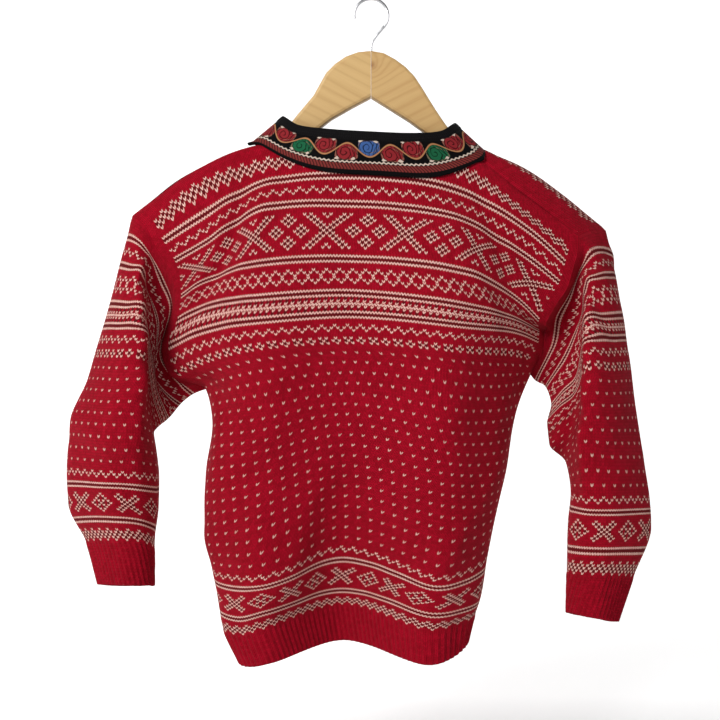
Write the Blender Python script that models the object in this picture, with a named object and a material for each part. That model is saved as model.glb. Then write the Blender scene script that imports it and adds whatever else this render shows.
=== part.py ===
"""Child's stranded wool sweater hanging on a wooden hanger.

Metres, +Z up.  The origin is the underside of the hook's crown, where the hanger is held.
-Y is the side of the garment's back, +Y the side of its front.  The tables below are in
millimetres and are turned into metres when a mesh is made.

The cloth is worked out in knitting terms.  A row is a course of stitches, counted down
from the yoke's first stripe; a column is one stitch of the 280 around the body.  The body
is a ring of cloth whose back half lies towards -Y.  Above the underarm row the two halves
part at the armholes, and each sleeve is a run of closed rings that starts on its armhole.
"""
import math

import bmesh
import bpy
import numpy as np

MM = 0.001

# Driving sizes, in millimetres unless they count stitches
WALL = 2.4                # thickness of the knitted cloth
SEAM_GAP = 0.35           # between two pieces at a seam
EDGE_ROWS = 0.08          # rows of cloth that a sewn edge stays short of its seam
EDGE_STITCHES = 0.06      # and stitches
RIB_RELIEF = 0.55         # half of the height of a rib over the furrow beside it
BODY_STITCHES = 280       # around the body, half of them in each panel
PANEL_STITCHES = 140
SHOULDER_ROW = -15        # the shoulder seam
UNDERARM_ROW = 70         # where the armholes end
RIB_ROW = 172             # first row of the hem's rib
HEM_ROW = 186             # the hem's edge
COLUMN_STEP = 5           # stitches from one column of the mesh to the next
CORNER_COLUMNS = (41, 42, 43, 102, 103, 104)    # more of them beside the neck's corners
ARMHOLE_ROWS = (-15, -13, -10.5, -8, -4.5, -1, 5, 12, 19, 26, 33, 40, 47, 54, 62, 70)
BODY_SPANS = 9            # mesh rows from the underarm to the rib
RIB_SPANS = 2
NECK_LEFT = 40            # columns where the shoulder seams meet the neck
NECK_RIGHT = 105
BACK_NECK_DROP = 13.0     # rows that the neckline drops below the shoulder seams
FRONT_NECK_DROP = 23.0
BACK_NECK_POWER = 3.4     # how square the neckline is
FRONT_NECK_POWER = 4.5
CUFF_RIB_ROW = 119        # sleeve rows are counted from the armhole
CUFF_ROW = 135
CUFF_RIB_COLUMNS = 2      # mesh columns of rib on one column of the sleeve above it
SLEEVE_ROWS = (0, 6, 13, 20, 27, 34, 42, 51, 60, 71, 83, 95, 107, 119)

BAND_WALL = 2.0           # the neck's woven band
BAND_LIFT = 3.4           # from the middle of the cloth to the middle of the band over it
BAND_OVERLAP = 1.8        # rows of cloth that the band covers below the neckline
BAND_SPANS = 20           # mesh columns of the band over the back, and over the front
BINDING_HEIGHT = 8.5
BINDING_WALL = 3.4

ARM_THICKNESS = 13.0
ARM_ROUND = 3.0
MITRE_GAP = 0.3
WIRE = 3.0                # diameter of the hook's wire
CROWN_RADIUS = 16.5

KNIT = (0.47, 0.012, 0.035, 1.0)
RIBBON = (0.05, 0.012, 0.012, 1.0)
BLACK = (0.012, 0.011, 0.012, 1.0)
PINE = (0.72, 0.46, 0.22, 1.0)
STEEL = (0.62, 0.62, 0.62, 1.0)

# The back half of the body, from its left edge to its right edge as seen from -Y.  Each
# line is one row of stitches: the row, then x, y and z at seven stations across it.
BACK = (
    # row  left edge           left hollow         left chest          middle
    #      right chest         right hollow        right edge
    (-15, (-231, 0, -209), (-180, 0, -171), (-119, 0, -143), (-11, -2, -130),
     (81, -6, -143), (143, -20, -190), (196, -22, -231)),
    (-13, (-227, -5, -212), (-178, -5, -173), (-118, -5, -145), (-11, -5, -136),
     (81, -8, -147), (143, -22, -194), (196, -23, -236)),
    (-8, (-216, -12, -222), (-172, -12, -183), (-116, -12, -160), (-11, -12, -151),
     (81, -14, -160), (143, -26, -206), (195, -24, -248)),
    (-1, (-207, -16, -239), (-163, -20, -211), (-108, -20, -181), (-13, -22, -172),
     (82, -24, -186), (146, -30, -223), (191, -24, -262)),
    (9, (-196, -14, -256), (-156, -24, -235), (-107, -30, -206), (-14, -30, -200),
     (83, -36, -215), (144, -30, -248), (186, -22, -280)),
    (19, (-190, -10, -273), (-157, -22, -256), (-106, -36, -232), (-14, -36, -226),
     (84, -48, -240), (140, -34, -269), (176, -22, -295)),
    (29, (-189, -6, -290), (-155, -22, -271), (-102, -42, -257), (-15, -42, -253),
     (85, -58, -266), (132, -36, -287), (166, -18, -315)),
    (42, (-193, 0, -312), (-163, -18, -298), (-101, -48, -291), (-20, -46, -285),
     (83, -64, -297), (128, -34, -307), (169, 8, -322)),
    (50, (-203, 6, -336), (-165, -20, -322), (-101, -50, -313), (-20, -47, -305),
     (82, -66, -315), (125, -34, -320), (169, 8, -331)),
    (60, (-196, 2, -363), (-160, -22, -348), (-101, -50, -336), (-20, -47, -329),
     (80, -67, -337), (121, -36, -341), (162, 4, -347)),
    (70, (-161, 9, -376), (-146, -22, -370), (-101, -50, -360), (-22, -46, -351),
     (78, -68, -360), (117, -38, -364), (156, 11, -361)),
    (85, (-152, -5, -411), (-139, -30, -407), (-100, -48, -401), (-24, -42, -387),
     (76, -70, -403), (110, -44, -405), (139, 0, -401)),
    (105, (-158, -8, -463), (-140, -36, -458), (-101, -50, -451), (-26, -38, -435),
     (72, -72, -451), (104, -48, -454), (130, -6, -451)),
    (125, (-159, -14, -513), (-139, -40, -509), (-102, -54, -501), (-27, -32, -484),
     (65, -70, -501), (94, -51, -502), (118, -14, -498)),
    (142, (-150, -20, -549), (-131, -42, -550), (-100, -57, -547), (-28, -24, -527),
     (58, -63, -548), (86, -48, -545), (109, -18, -537)),
    (163, (-141, -30, -586), (-122, -46, -588), (-97, -53, -580), (-28, -12, -569),
     (55, -58, -582), (84, -48, -580), (101, -26, -577)),
    (172, (-137, -32, -603), (-120, -44, -604), (-99, -49, -597), (-26, -8, -584),
     (54, -53, -598), (80, -43, -594), (96, -26, -591)),
    (186, (-123, -32, -634), (-111, -46, -633), (-92, -51, -628), (-26, -8, -618),
     (52, -54, -629), (75, -45, -625), (89, -27, -618)),
)

# The front half, at the same seven stations.  It shares the shoulder seam with the back,
# and below the underarm it shares both side edges.
FRONT = (
    (-15, (-231, 0, -209), (-180, 0, -171), (-119, 0, -143), (-11, -2, -130),
     (81, -6, -143), (143, -20, -190), (196, -22, -231)),
    (-13, (-231, 4, -211), (-180, 5, -172), (-119, 5, -144), (-11, 2, -134),
     (82, -3, -140), (146, -16, -184), (202, -18, -228)),
    (-8, (-230, 11, -218), (-178, 13, -180), (-119, 13, -153), (-11, 10, -143),
     (84, 4, -137), (152, -8, -172), (217, -6, -223)),
    (-3, (-228, 15, -229), (-174, 18, -193), (-115, 19, -164), (-11, 17, -154),
     (86, 11, -138), (157, 5, -168), (229, 6, -223)),
    (9, (-220, 20, -252), (-170, 24, -222), (-112, 28, -190), (-13, 26, -183),
     (91, 24, -168), (158, 22, -198), (226, 18, -252)),
    (29, (-209, 24, -294), (-166, 34, -271), (-110, 42, -240), (-15, 38, -233),
     (92, 40, -220), (150, 34, -251), (210, 24, -297)),
    (50, (-191, 26, -339), (-162, 40, -321), (-108, 52, -293), (-17, 48, -288),
     (91, 54, -275), (142, 40, -305), (187, 27, -334)),
    (60, (-180, 26, -359), (-155, 42, -346), (-107, 57, -322), (-18, 50, -315),
     (91, 59, -307), (137, 42, -330), (173, 26, -349)),
    (70, (-161, 9, -376), (-147, 44, -369), (-105, 62, -351), (-19, 52, -343),
     (90, 64, -339), (131, 45, -353), (156, 11, -361)),
    (85, (-152, -5, -411), (-146, 50, -404), (-90, 80, -394), (-5, 48, -388),
     (75, 78, -392), (128, 50, -398), (139, 0, -401)),
    (105, (-158, -8, -463), (-150, 52, -454), (-88, 86, -444), (-2, 34, -437),
     (70, 84, -442), (122, 52, -448), (130, -6, -451)),
    (125, (-159, -14, -513), (-148, 48, -504), (-84, 88, -494), (0, 26, -487),
     (66, 86, -492), (112, 52, -496), (118, -14, -498)),
    (142, (-150, -20, -549), (-142, 42, -544), (-80, 90, -536), (2, 22, -530),
     (62, 88, -534), (106, 48, -536), (109, -18, -537)),
    (163, (-141, -30, -586), (-134, 36, -582), (-76, 84, -576), (4, 20, -571),
     (58, 82, -574), (98, 44, -576), (101, -26, -577)),
    (172, (-137, -32, -603), (-130, 32, -600), (-74, 80, -594), (4, 20, -588),
     (56, 78, -591), (94, 40, -591), (96, -26, -591)),
    (186, (-123, -32, -634), (-122, 30, -632), (-72, 78, -627), (4, 20, -622),
     (54, 76, -624), (90, 38, -620), (89, -27, -618)),
)

# The side seams turn towards -Y on the right and +Y on the left as the body hangs: the
# ring columns that lie on the left and the right edge of each row.
TURN = (
    # row, column on the left edge, column on the right edge
    (-15, 0, 140),
    (70, 0, 140),
    (85, 6, 133),
    (105, 14, 131),
    (125, 23, 132),
    (142, 32, 135),
    (163, 37, 139),
    (172, 38, 140),
    (186, 38, 140),
)

# Sleeve rings: the row, then ten stations round the ring.  It starts on the outer fold,
# crosses the back to the crest of the long pleat, dives behind it along the armhole to
# the underarm fold, and comes home over the front.
LEFT_SLEEVE = (
    # row  outer fold  back  crest  behind the crest  hollow  sag  underarm fold
    #      front sag  front  front outer
    (6, (-235, 0, -229), (-220, -18, -237), (-210, -10, -252), (-201, -2, -272),
     (-194, 6, -295), (-205, 14, -347), (-175, 14, -381), (-203, 34, -344),
     (-222, 31, -284), (-233, 17, -243)),
    (14, (-243, 2, -255), (-228, -20, -259), (-217, -28, -261), (-218, -4, -279),
     (-208, 8, -310), (-212, 16, -367), (-187, 12, -391), (-212, 36, -353),
     (-230, 39, -302), (-241, 23, -262)),
    (27, (-253, 4, -293), (-231, -30, -295), (-215, -38, -296), (-218, -6, -312),
     (-215, 4, -341), (-210, 8, -378), (-199, 10, -405), (-220, 36, -375),
     (-238, 44, -326), (-251, 30, -297)),
    (40, (-264, 6, -328), (-233, -38, -328), (-212, -46, -329), (-216, -12, -345),
     (-216, -4, -366), (-212, -6, -390), (-207, 4, -412), (-220, 28, -391),
     (-237, 44, -354), (-261, 34, -331)),
    (55, (-275, 4, -368), (-236, -44, -368), (-211, -50, -368), (-213, -24, -383),
     (-212, -16, -395), (-212, -12, -405), (-211, -2, -417), (-223, 24, -411),
     (-243, 42, -389), (-271, 32, -373)),
    (70, (-291, 2, -408), (-245, -44, -407), (-216, -46, -408), (-211, -32, -413),
     (-210, -20, -417), (-211, -10, -419), (-212, 0, -421), (-226, 24, -421),
     (-254, 38, -417), (-284, 26, -412)),
    (87, (-294, 0, -456), (-248, -38, -454), (-221, -36, -454), (-211, -24, -456),
     (-207, -14, -458), (-207, -6, -459), (-208, 4, -460), (-223, 22, -462),
     (-253, 34, -462), (-283, 22, -459)),
    (103, (-293, 0, -488), (-245, -34, -482), (-220, -30, -483), (-211, -20, -485),
     (-207, -10, -487), (-207, -3, -488), (-208, 4, -489), (-221, 20, -491),
     (-252, 30, -492), (-282, 20, -490)),
    (119, (-275, 0, -526), (-240, -27, -520), (-221, -25, -520), (-213, -17, -523),
     (-211, -9, -525), (-211, -3, -527), (-212, 3, -528), (-224, 17, -529),
     (-247, 25, -530), (-267, 16, -528)),
    (135, (-264, 0, -566), (-235, -24, -562), (-221, -22, -563), (-213, -15, -564),
     (-211, -8, -566), (-211, -3, -567), (-212, 2, -568), (-222, 15, -570),
     (-242, 21, -572), (-258, 14, -570)),
)
RIGHT_SLEEVE = (
    (6, (209, -19, -245), (203, -14, -257), (199, -10, -266), (191, -2, -287),
     (181, 4, -307), (178, 8, -332), (163, 16, -368), (200, 36, -336),
     (226, 34, -286), (237, 12, -246)),
    (14, (224, -16, -266), (212, -26, -269), (204, -28, -272), (205, -4, -303),
     (197, 4, -327), (188, 8, -347), (173, 16, -374), (207, 40, -347),
     (231, 42, -301), (240, 14, -268)),
    (27, (240, -8, -304), (219, -30, -306), (202, -38, -306), (204, -6, -339),
     (199, 0, -366), (188, 2, -378), (178, 10, -392), (208, 38, -364),
     (232, 46, -329), (245, 22, -305)),
    (40, (250, 6, -339), (219, -38, -340), (199, -46, -340), (203, -12, -370),
     (196, -6, -388), (183, -6, -399), (173, 4, -411), (199, 28, -387),
     (226, 44, -359), (248, 34, -342)),
    (55, (255, 4, -382), (220, -44, -381), (196, -50, -381), (199, -24, -400),
     (192, -16, -414), (182, -12, -423), (174, -2, -430), (194, 24, -416),
     (223, 42, -395), (249, 32, -386)),
    (70, (261, 2, -428), (220, -42, -424), (195, -44, -423), (192, -30, -433),
     (190, -20, -440), (189, -10, -444), (190, 0, -447), (208, 24, -444),
     (233, 38, -436), (256, 26, -432)),
    (87, (269, 0, -482), (225, -36, -478), (203, -34, -478), (196, -24, -478),
     (193, -14, -478), (194, -6, -478), (196, 4, -479), (209, 22, -483),
     (236, 34, -486), (261, 22, -485)),
    (103, (271, 0, -512), (226, -32, -509), (203, -28, -509), (194, -18, -509),
     (191, -10, -510), (192, -3, -510), (193, 4, -510), (207, 20, -515),
     (235, 30, -519), (260, 20, -516)),
    (119, (254, 0, -558), (221, -26, -552), (204, -24, -552), (195, -16, -553),
     (191, -9, -553), (191, -3, -553), (192, 3, -554), (203, 17, -559),
     (227, 25, -563), (246, 16, -561)),
    (135, (239, 0, -602), (215, -23, -594), (201, -20, -592), (193, -13, -591),
     (190, -7, -592), (190, -3, -593), (191, 2, -594), (201, 15, -599),
     (219, 21, -603), (233, 14, -605)),
)

# The top edge of the neck band, over the back from the left corner to the right one, then
# home over the front.
BAND_TOP = ((-84.5, 0, -113), (-80, -10, -117), (-70, -15.5, -124), (-42, -24, -129.5),
            (1, -28, -133), (41, -26, -134), (67, -16, -130), (76, -9, -123.5),
            (80.5, 0, -119.5), (75, 10, -124), (61, 19, -132), (40, 28, -142),
            (0, 33, -147), (-38, 28, -140), (-66, 16, -129), (-79, 10, -119))
BAND_TOP_TURN = 8         # the right corner

# Outline of each hanger arm in x and z, from the mitre out to the tip.
LEFT_ARM_TOP = ((0, -50), (-16, -52), (-30, -59), (-44, -72), (-54, -91), (-69, -109),
                (-84, -128), (-96, -143), (-107, -150), (-122, -155), (-150, -166),
                (-180, -181), (-205, -200))
LEFT_ARM_BOTTOM = ((0, -95), (-44, -120), (-80, -152), (-119, -172), (-160, -191),
                   (-203, -216))
RIGHT_ARM_TOP = ((0, -50), (9, -51), (23, -58), (36, -68), (43, -76), (53, -92),
                 (67, -114), (82, -135), (92, -150), (101, -156), (118, -162),
                 (145, -174), (176, -195), (196, -212))
RIGHT_ARM_BOTTOM = ((0, -95), (52, -129), (85, -161), (120, -181), (160, -205),
                    (192, -227))


class Sections:
    """Stations that change smoothly, without overshoot, between a table's sections."""

    def __init__(self, keys, values):
        self.keys = np.array(keys, dtype=float)
        self.values = np.array(values, dtype=float)
        steps = np.diff(self.keys).reshape((-1,) + (1,) * (self.values.ndim - 1))
        slopes = np.diff(self.values, axis=0) / steps
        before, after = steps[:-1], steps[1:]
        same_way = slopes[:-1] * slopes[1:] > 0
        first = np.where(same_way, slopes[:-1], 1.0)
        second = np.where(same_way, slopes[1:], 1.0)
        weights = (before + 2 * after) / first + (2 * before + after) / second
        inner = np.where(same_way, 3 * (before + after) / weights, 0.0)
        self.tangents = np.concatenate([slopes[:1], inner, slopes[-1:]])

    def at(self, key):
        index = int(np.clip(np.searchsorted(self.keys, key) - 1, 0, len(self.keys) - 2))
        step = self.keys[index + 1] - self.keys[index]
        u = (key - self.keys[index]) / step
        return ((2 * u ** 3 - 3 * u ** 2 + 1) * self.values[index]
                + (u ** 3 - 2 * u ** 2 + u) * step * self.tangents[index]
                + (3 * u ** 2 - 2 * u ** 3) * self.values[index + 1]
                + (u ** 3 - u ** 2) * step * self.tangents[index + 1])


def from_table(table):
    return Sections([line[0] for line in table], [line[1:] for line in table])


def smooth_curve(points, before=None, after=None, steps=16):
    """Points close together on a smooth curve through the given ones.

    before and after are neighbours beyond the ends, which set the curve's end directions.
    """
    points = np.asarray(points, dtype=float)
    before = 2 * points[0] - points[1] if before is None else before
    after = 2 * points[-1] - points[-2] if after is None else after
    chain = np.vstack([before, points, after])
    spans = np.sqrt(np.linalg.norm(np.diff(chain, axis=0), axis=1))
    u = (np.arange(steps) / steps)[:, None]
    curve = []
    for i in range(1, len(chain) - 2):
        a, b, c, d = chain[i - 1:i + 3]
        first, span, last = spans[i - 1:i + 2]
        start = (c - b) - span * ((c - a) / (first + span) - (b - a) / first)
        end = (c - b) - span * ((d - b) / (span + last) - (d - c) / last)
        curve.append((2 * u ** 3 - 3 * u ** 2 + 1) * b + (u ** 3 - 2 * u ** 2 + u) * start
                     + (3 * u ** 2 - 2 * u ** 3) * c + (u ** 3 - u ** 2) * end)
    curve.append(points[-1:])
    return np.vstack(curve)


def along(curve, shares):
    """Points at the given shares of a curve's length."""
    lengths = np.concatenate([[0.0], np.cumsum(np.linalg.norm(np.diff(curve, axis=0), axis=1))])
    wanted = np.asarray(shares, dtype=float) * lengths[-1]
    return np.stack([np.interp(wanted, lengths, curve[:, axis]) for axis in range(3)], axis=1)


def unit(vectors):
    return vectors / np.maximum(np.linalg.norm(vectors, axis=-1, keepdims=True), 1e-9)


BACK_SECTIONS = from_table(BACK)
FRONT_SECTIONS = from_table(FRONT)
TURN_SECTIONS = from_table(TURN)


def smoothstep(low, high, value):
    """0 below low, 1 above high, with a soft rise between."""
    share = min(max((value - low) / (high - low), 0.0), 1.0)
    return share * share * (3.0 - 2.0 * share)


def body_points(row, columns):
    """Points of the body's ring at one row, for ring columns from 0 to 280."""
    back = BACK_SECTIONS.at(row)
    front = FRONT_SECTIONS.at(row)
    left_column, right_column = TURN_SECTIONS.at(row)
    joined = smoothstep(UNDERARM_ROW - 12, UNDERARM_ROW, row)
    curves = []
    for half, other in ((back, front), (front, back)):
        left = (1 - joined) * (2 * half[0] - half[1]) + joined * other[1]
        right = (1 - joined) * (2 * half[-1] - half[-2]) + joined * other[-2]
        curves.append(smooth_curve(half, left, right))
    around = left_column + np.mod(np.asarray(columns, dtype=float) - left_column,
                                  BODY_STITCHES)
    back_share = (around - left_column) / (right_column - left_column)
    front_share = (around - right_column) / (BODY_STITCHES + left_column - right_column)
    on_back = along(curves[0], np.clip(back_share, 0, 1))
    on_front = along(curves[1][::-1], np.clip(front_share, 0, 1))
    return np.where((back_share <= 1.0)[:, None], on_back, on_front)


def body_normals(row, columns, low, high):
    """Outward directions on the body's ring.  low and high bound the panel's columns."""
    columns = np.asarray(columns, dtype=float)
    reach = 1.0
    across = (body_points(row, np.minimum(columns + reach, high))
              - body_points(row, np.maximum(columns - reach, low)))
    down = (body_points(min(row + reach, HEM_ROW), columns)
            - body_points(max(row - reach, SHOULDER_ROW), columns))
    return unit(np.cross(down, across))


def neck_row(column, drop, power):
    """The row of the neckline at a panel column, or the shoulder seam's row beside it."""
    middle = (NECK_LEFT + NECK_RIGHT) / 2
    reach = (NECK_RIGHT - NECK_LEFT) / 2
    q = min(abs(column - middle) / reach, 1.0)
    return SHOULDER_ROW + drop * (1.0 - q ** power)


def panel_rows():
    """Rows of the panel's mesh, from the shoulder seam to the rib."""
    lower = np.linspace(UNDERARM_ROW, RIB_ROW, BODY_SPANS + 1)[1:]
    return np.concatenate([ARMHOLE_ROWS, lower])


def armhole_shares(refine):
    """Shares of the armhole's depth at the mesh's columns, refine of them to each span."""
    shares = (np.array(ARMHOLE_ROWS, dtype=float) - SHOULDER_ROW) / (UNDERARM_ROW - SHOULDER_ROW)
    places = np.linspace(0, len(shares) - 1, (len(shares) - 1) * refine + 1)
    return np.interp(places, np.arange(len(shares)), shares)


def sleeve_ring(stations, shares):
    """A closed ring through ten stations, at the same shares of its back and its front."""
    back = smooth_curve(stations[:7], stations[-1], stations[7])
    front = smooth_curve(np.vstack([stations[6:], stations[:1]]), stations[5], stations[1])
    return np.vstack([along(back, shares), along(front, 1.0 - shares[-2:0:-1])])


def armhole(side, shares, inset=0.01):
    """The armhole's edge, down the back from the shoulder seam and up the front."""
    rows = SHOULDER_ROW + (UNDERARM_ROW - SHOULDER_ROW) * shares
    if side == "left":
        columns = (inset, BODY_STITCHES - inset)
    else:
        columns = (PANEL_STITCHES - inset, PANEL_STITCHES + inset)
    down = [body_points(row, columns[:1])[0] for row in rows]
    up = [body_points(row, columns[1:])[0] for row in rows[-2:0:-1]]
    return np.array(down + up)


def sleeve_sections(side, refine=1):
    shares = armhole_shares(refine)
    table = LEFT_SLEEVE if side == "left" else RIGHT_SLEEVE
    keys = [0] + [line[0] for line in table]
    rings = [armhole(side, shares)]
    rings += [sleeve_ring(np.array(line[1:], dtype=float), shares) for line in table]
    return Sections(keys, rings)


def ring_normals(sections, row, side):
    """Outward directions on a sleeve's ring."""
    ring = sections.at(row)
    around = np.roll(ring, -1, axis=0) - np.roll(ring, 1, axis=0)
    low = max(row - 1.0, sections.keys[0])
    down = sections.at(min(row + 1.0, sections.keys[-1])) - sections.at(low)
    outward = np.cross(down, around)
    return unit(outward if side == "left" else -outward)


def mitre(*directions):
    """The direction of a seam's meeting faces, lengthened so that the wall keeps its width."""
    mean = unit(sum(directions))
    return mean / np.maximum(np.sum(mean * directions[0], axis=-1, keepdims=True), 0.62)


def principled(name, color, roughness, metallic=0.0):
    material = bpy.data.materials.new(name)
    material.use_nodes = True
    shader = material.node_tree.nodes["Principled BSDF"]
    shader.inputs["Base Color"].default_value = color
    shader.inputs["Roughness"].default_value = roughness
    shader.inputs["Metallic"].default_value = metallic
    material.diffuse_color = color
    return material


def add_object(name, mesh, material):
    mesh.materials.append(material)
    piece = bpy.data.objects.new(name, mesh)
    bpy.context.collection.objects.link(piece)
    return piece


def strip(bm, upper, lower, closed, stops=None, folds=None):
    """Faces between two rows of points.

    Where the lower row is finer, stops are its places under the upper row's points.
    folds says of each four-sided face which way its diagonal runs, so that two twisted
    edges that meet at a seam are folded alike.
    """
    spans = len(upper) if closed else len(upper) - 1
    if stops is None or len(upper) == len(lower):
        stops = range(spans + 1)
    for i in range(spans):
        a, b = upper[i], upper[(i + 1) % len(upper)]
        run = [lower[j % len(lower)] for j in range(stops[i], stops[i + 1] + 1)]
        if folds is not None:
            falling = folds[i] > 0
            bm.faces.new((a, b, run[1] if falling else run[0]))
            bm.faces.new((a if falling else b, run[1], run[0]))
            continue
        if len(run) == 2:
            bm.faces.new((a, b, run[1], run[0]))
            continue
        turn = len(run) // 2
        for j in range(len(run) - 1):
            bm.faces.new((a if j < turn else b, run[j + 1], run[j]))
        bm.faces.new((a, b, run[turn]))


def wall(name, rows, material, closed, stops=None):
    """A wall between outer and inner rows of points.  rows holds (outer, inner) pairs."""
    bm = bmesh.new()
    outer = [[bm.verts.new(point * MM) for point in pair[0]] for pair in rows]
    inner = [[bm.verts.new(point * MM) for point in pair[1]] for pair in rows]
    for upper, lower in zip(outer, outer[1:]):
        strip(bm, upper, lower, closed, stops)
    for upper, lower in zip(inner, inner[1:]):
        strip(bm, upper, lower, closed, stops)
    half = len(outer[0]) // 2
    strip(bm, outer[0], inner[0], closed, folds=[1] * half + [-1] * half if closed else None)
    strip(bm, outer[-1], inner[-1], closed)
    if not closed:
        for side in (0, -1):
            strip(bm, [line[side] for line in outer], [line[side] for line in inner], False,
                  folds=[1] * (len(outer) - 1))
    bmesh.ops.recalc_face_normals(bm, faces=bm.faces)
    mesh = bpy.data.meshes.new(name)
    bm.to_mesh(mesh)
    bm.free()
    mesh.shade_smooth()
    return add_object(name, mesh, material)


def rib_offsets(count):
    """Wall offsets of the outer points: a rib on each even column, a furrow between."""
    relief = np.where(np.arange(count) % 2 == 0, RIB_RELIEF, -RIB_RELIEF)
    return (WALL / 2 + relief)[:, None]


def panel_bounds(front):
    """The ring columns between which a panel lies."""
    start = PANEL_STITCHES if front else 0
    return start + EDGE_STITCHES, start + PANEL_STITCHES - EDGE_STITCHES


def build_panel(name, front, seams, material):
    """The back or the front, from the shoulder seams and the neckline to the hem's rib."""
    low, high = panel_bounds(front)
    drop, power = ((FRONT_NECK_DROP, FRONT_NECK_POWER) if front
                   else (BACK_NECK_DROP, BACK_NECK_POWER))
    places = sorted([*range(0, PANEL_STITCHES + 1, COLUMN_STEP), *CORNER_COLUMNS])
    if front:
        places = [PANEL_STITCHES - place for place in reversed(places)]
    fine = np.linspace(low, high, PANEL_STITCHES + 1)
    columns = fine[places]
    panel_columns = BODY_STITCHES - columns if front else columns
    tops = np.array([neck_row(column, drop, power) for column in panel_columns])
    blend_row = 21.4 if front else 15.4
    rows = []
    for index, row in enumerate(panel_rows()):
        level = max(row, SHOULDER_ROW + EDGE_ROWS)
        share = max((blend_row - level) / (blend_row - SHOULDER_ROW), 0.0)
        levels = level + (tops - SHOULDER_ROW) * share
        points = np.array([body_points(at, [column])[0]
                           for at, column in zip(levels, columns)])
        normals = np.array([body_normals(at, [column], low, high)[0]
                            for at, column in zip(levels, columns)])
        if index == 0:
            normals = seams.shoulder(front, normals, panel_columns)
        if index < len(ARMHOLE_ROWS):
            ends = (0, -1) if not front else (-1, 0)
            normals[ends[0]] = seams.armhole("left", front, index)
            normals[ends[1]] = seams.armhole("right", front, index)
        rows.append((points + normals * WALL / 2, points - normals * WALL / 2))
    for row in np.linspace(RIB_ROW, HEM_ROW, RIB_SPANS + 1)[1:]:
        points = body_points(row, fine)
        normals = body_normals(row, fine, low, high)
        rows.append((points + normals * rib_offsets(len(fine)), points - normals * WALL / 2))
    return wall(name, rows, material, closed=False, stops=places)


class Seams:
    """The directions in which the pieces' edges meet at the armholes and the shoulders."""

    def __init__(self):
        self.edges = {}
        rows = ARMHOLE_ROWS
        for side in ("left", "right"):
            end = 0 if side == "left" else 1
            back = np.array([body_normals(row, [panel_bounds(False)[end]],
                                          *panel_bounds(False))[0] for row in rows])
            front = np.array([body_normals(row, [panel_bounds(True)[1 - end]],
                                           *panel_bounds(True))[0] for row in rows])
            sleeve = ring_normals(sleeve_sections(side), 0.0, side)
            count = len(ARMHOLE_ROWS) - 1
            ring = np.zeros_like(sleeve)
            ring[0] = mitre(sleeve[0], back[0], front[0])
            ring[count] = mitre(sleeve[count], back[count], front[count])
            for i in range(1, count):
                ring[i] = mitre(sleeve[i], back[i])
                ring[-i] = mitre(sleeve[-i], front[i])
            self.edges[side] = ring

    def armhole(self, side, front, index):
        ring = self.edges[side]
        if not front or index in (0, len(ARMHOLE_ROWS) - 1):
            return ring[index]
        return ring[-index]

    def shoulder(self, front, normals, panel_columns):
        """Across the shoulder seams the back and the front meet on their mean direction."""
        meeting = normals.copy()
        row = SHOULDER_ROW + 0.1
        for i, column in enumerate(panel_columns):
            if NECK_LEFT + 1 < column < NECK_RIGHT - 1:
                continue
            on_back = body_normals(row, [column], *panel_bounds(False))[0]
            on_front = body_normals(row, [BODY_STITCHES - column], *panel_bounds(True))[0]
            meeting[i] = mitre(on_back, on_front)
        return meeting


def build_sleeve(name, side, seams, material):
    """A sleeve, from the armhole to the end of its ribbed cuff."""
    sections = sleeve_sections(side)
    rows = []
    for index, row in enumerate(SLEEVE_ROWS):
        ring = sections.at(row)
        if index == 0:
            normals = seams.edges[side]
            around = np.roll(ring, -1, axis=0) - np.roll(ring, 1, axis=0)
            away = unit(np.cross(around, normals))
            ring = ring + away * SEAM_GAP / 2 * (1 if side == "left" else -1)
        else:
            normals = ring_normals(sections, row, side)
        rows.append((ring + normals * WALL / 2, ring - normals * WALL / 2))
    fine = sleeve_sections(side, CUFF_RIB_COLUMNS)
    for row in np.linspace(CUFF_RIB_ROW, CUFF_ROW, RIB_SPANS + 1)[1:]:
        ring = fine.at(row)
        normals = ring_normals(fine, row, side)
        rows.append((ring + normals * rib_offsets(len(ring)), ring - normals * WALL / 2))
    stops = [i * CUFF_RIB_COLUMNS for i in range(len(seams.edges[side]) + 1)]
    return wall(name, rows, material, closed=True, stops=stops)


def neck_edge(lift, below):
    """The neckline, lifted off the cloth and moved down by some rows, as a closed loop."""
    middle = (NECK_LEFT + NECK_RIGHT) / 2
    reach = (NECK_RIGHT - NECK_LEFT) / 2 + below
    halves = []
    for front in (False, True):
        drop, power = ((FRONT_NECK_DROP, FRONT_NECK_POWER) if front
                       else (BACK_NECK_DROP, BACK_NECK_POWER))
        line = []
        for step in np.linspace(0.03, 0.97, 30):
            column = middle - reach * math.cos(math.pi * step)
            row = neck_row(column, drop, power) + below * math.sin(math.pi * step) ** 0.5
            ring_column = BODY_STITCHES - column if front else column
            point = body_points(row, [ring_column])[0]
            line.append(point + lift * body_normals(row, [ring_column],
                                                    *panel_bounds(front))[0])
        halves.append(line)
    corner = (halves[0][0] + halves[1][0]) / 2 + np.array([-lift / 4, 0.0, lift / 4])
    return np.array([corner] + halves[0] + halves[1][::-1])


def band_ring(loop, turn):
    """The loop's points, closer together at its left corner and at its turning point."""
    shares = (1.0 - np.cos(np.linspace(0.0, math.pi, BAND_SPANS + 1))) / 2
    over_back = smooth_curve(loop[:turn + 1], loop[-1], loop[turn + 1], 4)
    over_front = smooth_curve(np.vstack([loop[turn:], loop[:1]]), loop[turn - 1], loop[1], 4)
    return np.vstack([along(over_back, shares), along(over_front, shares[1:-1])])


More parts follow.
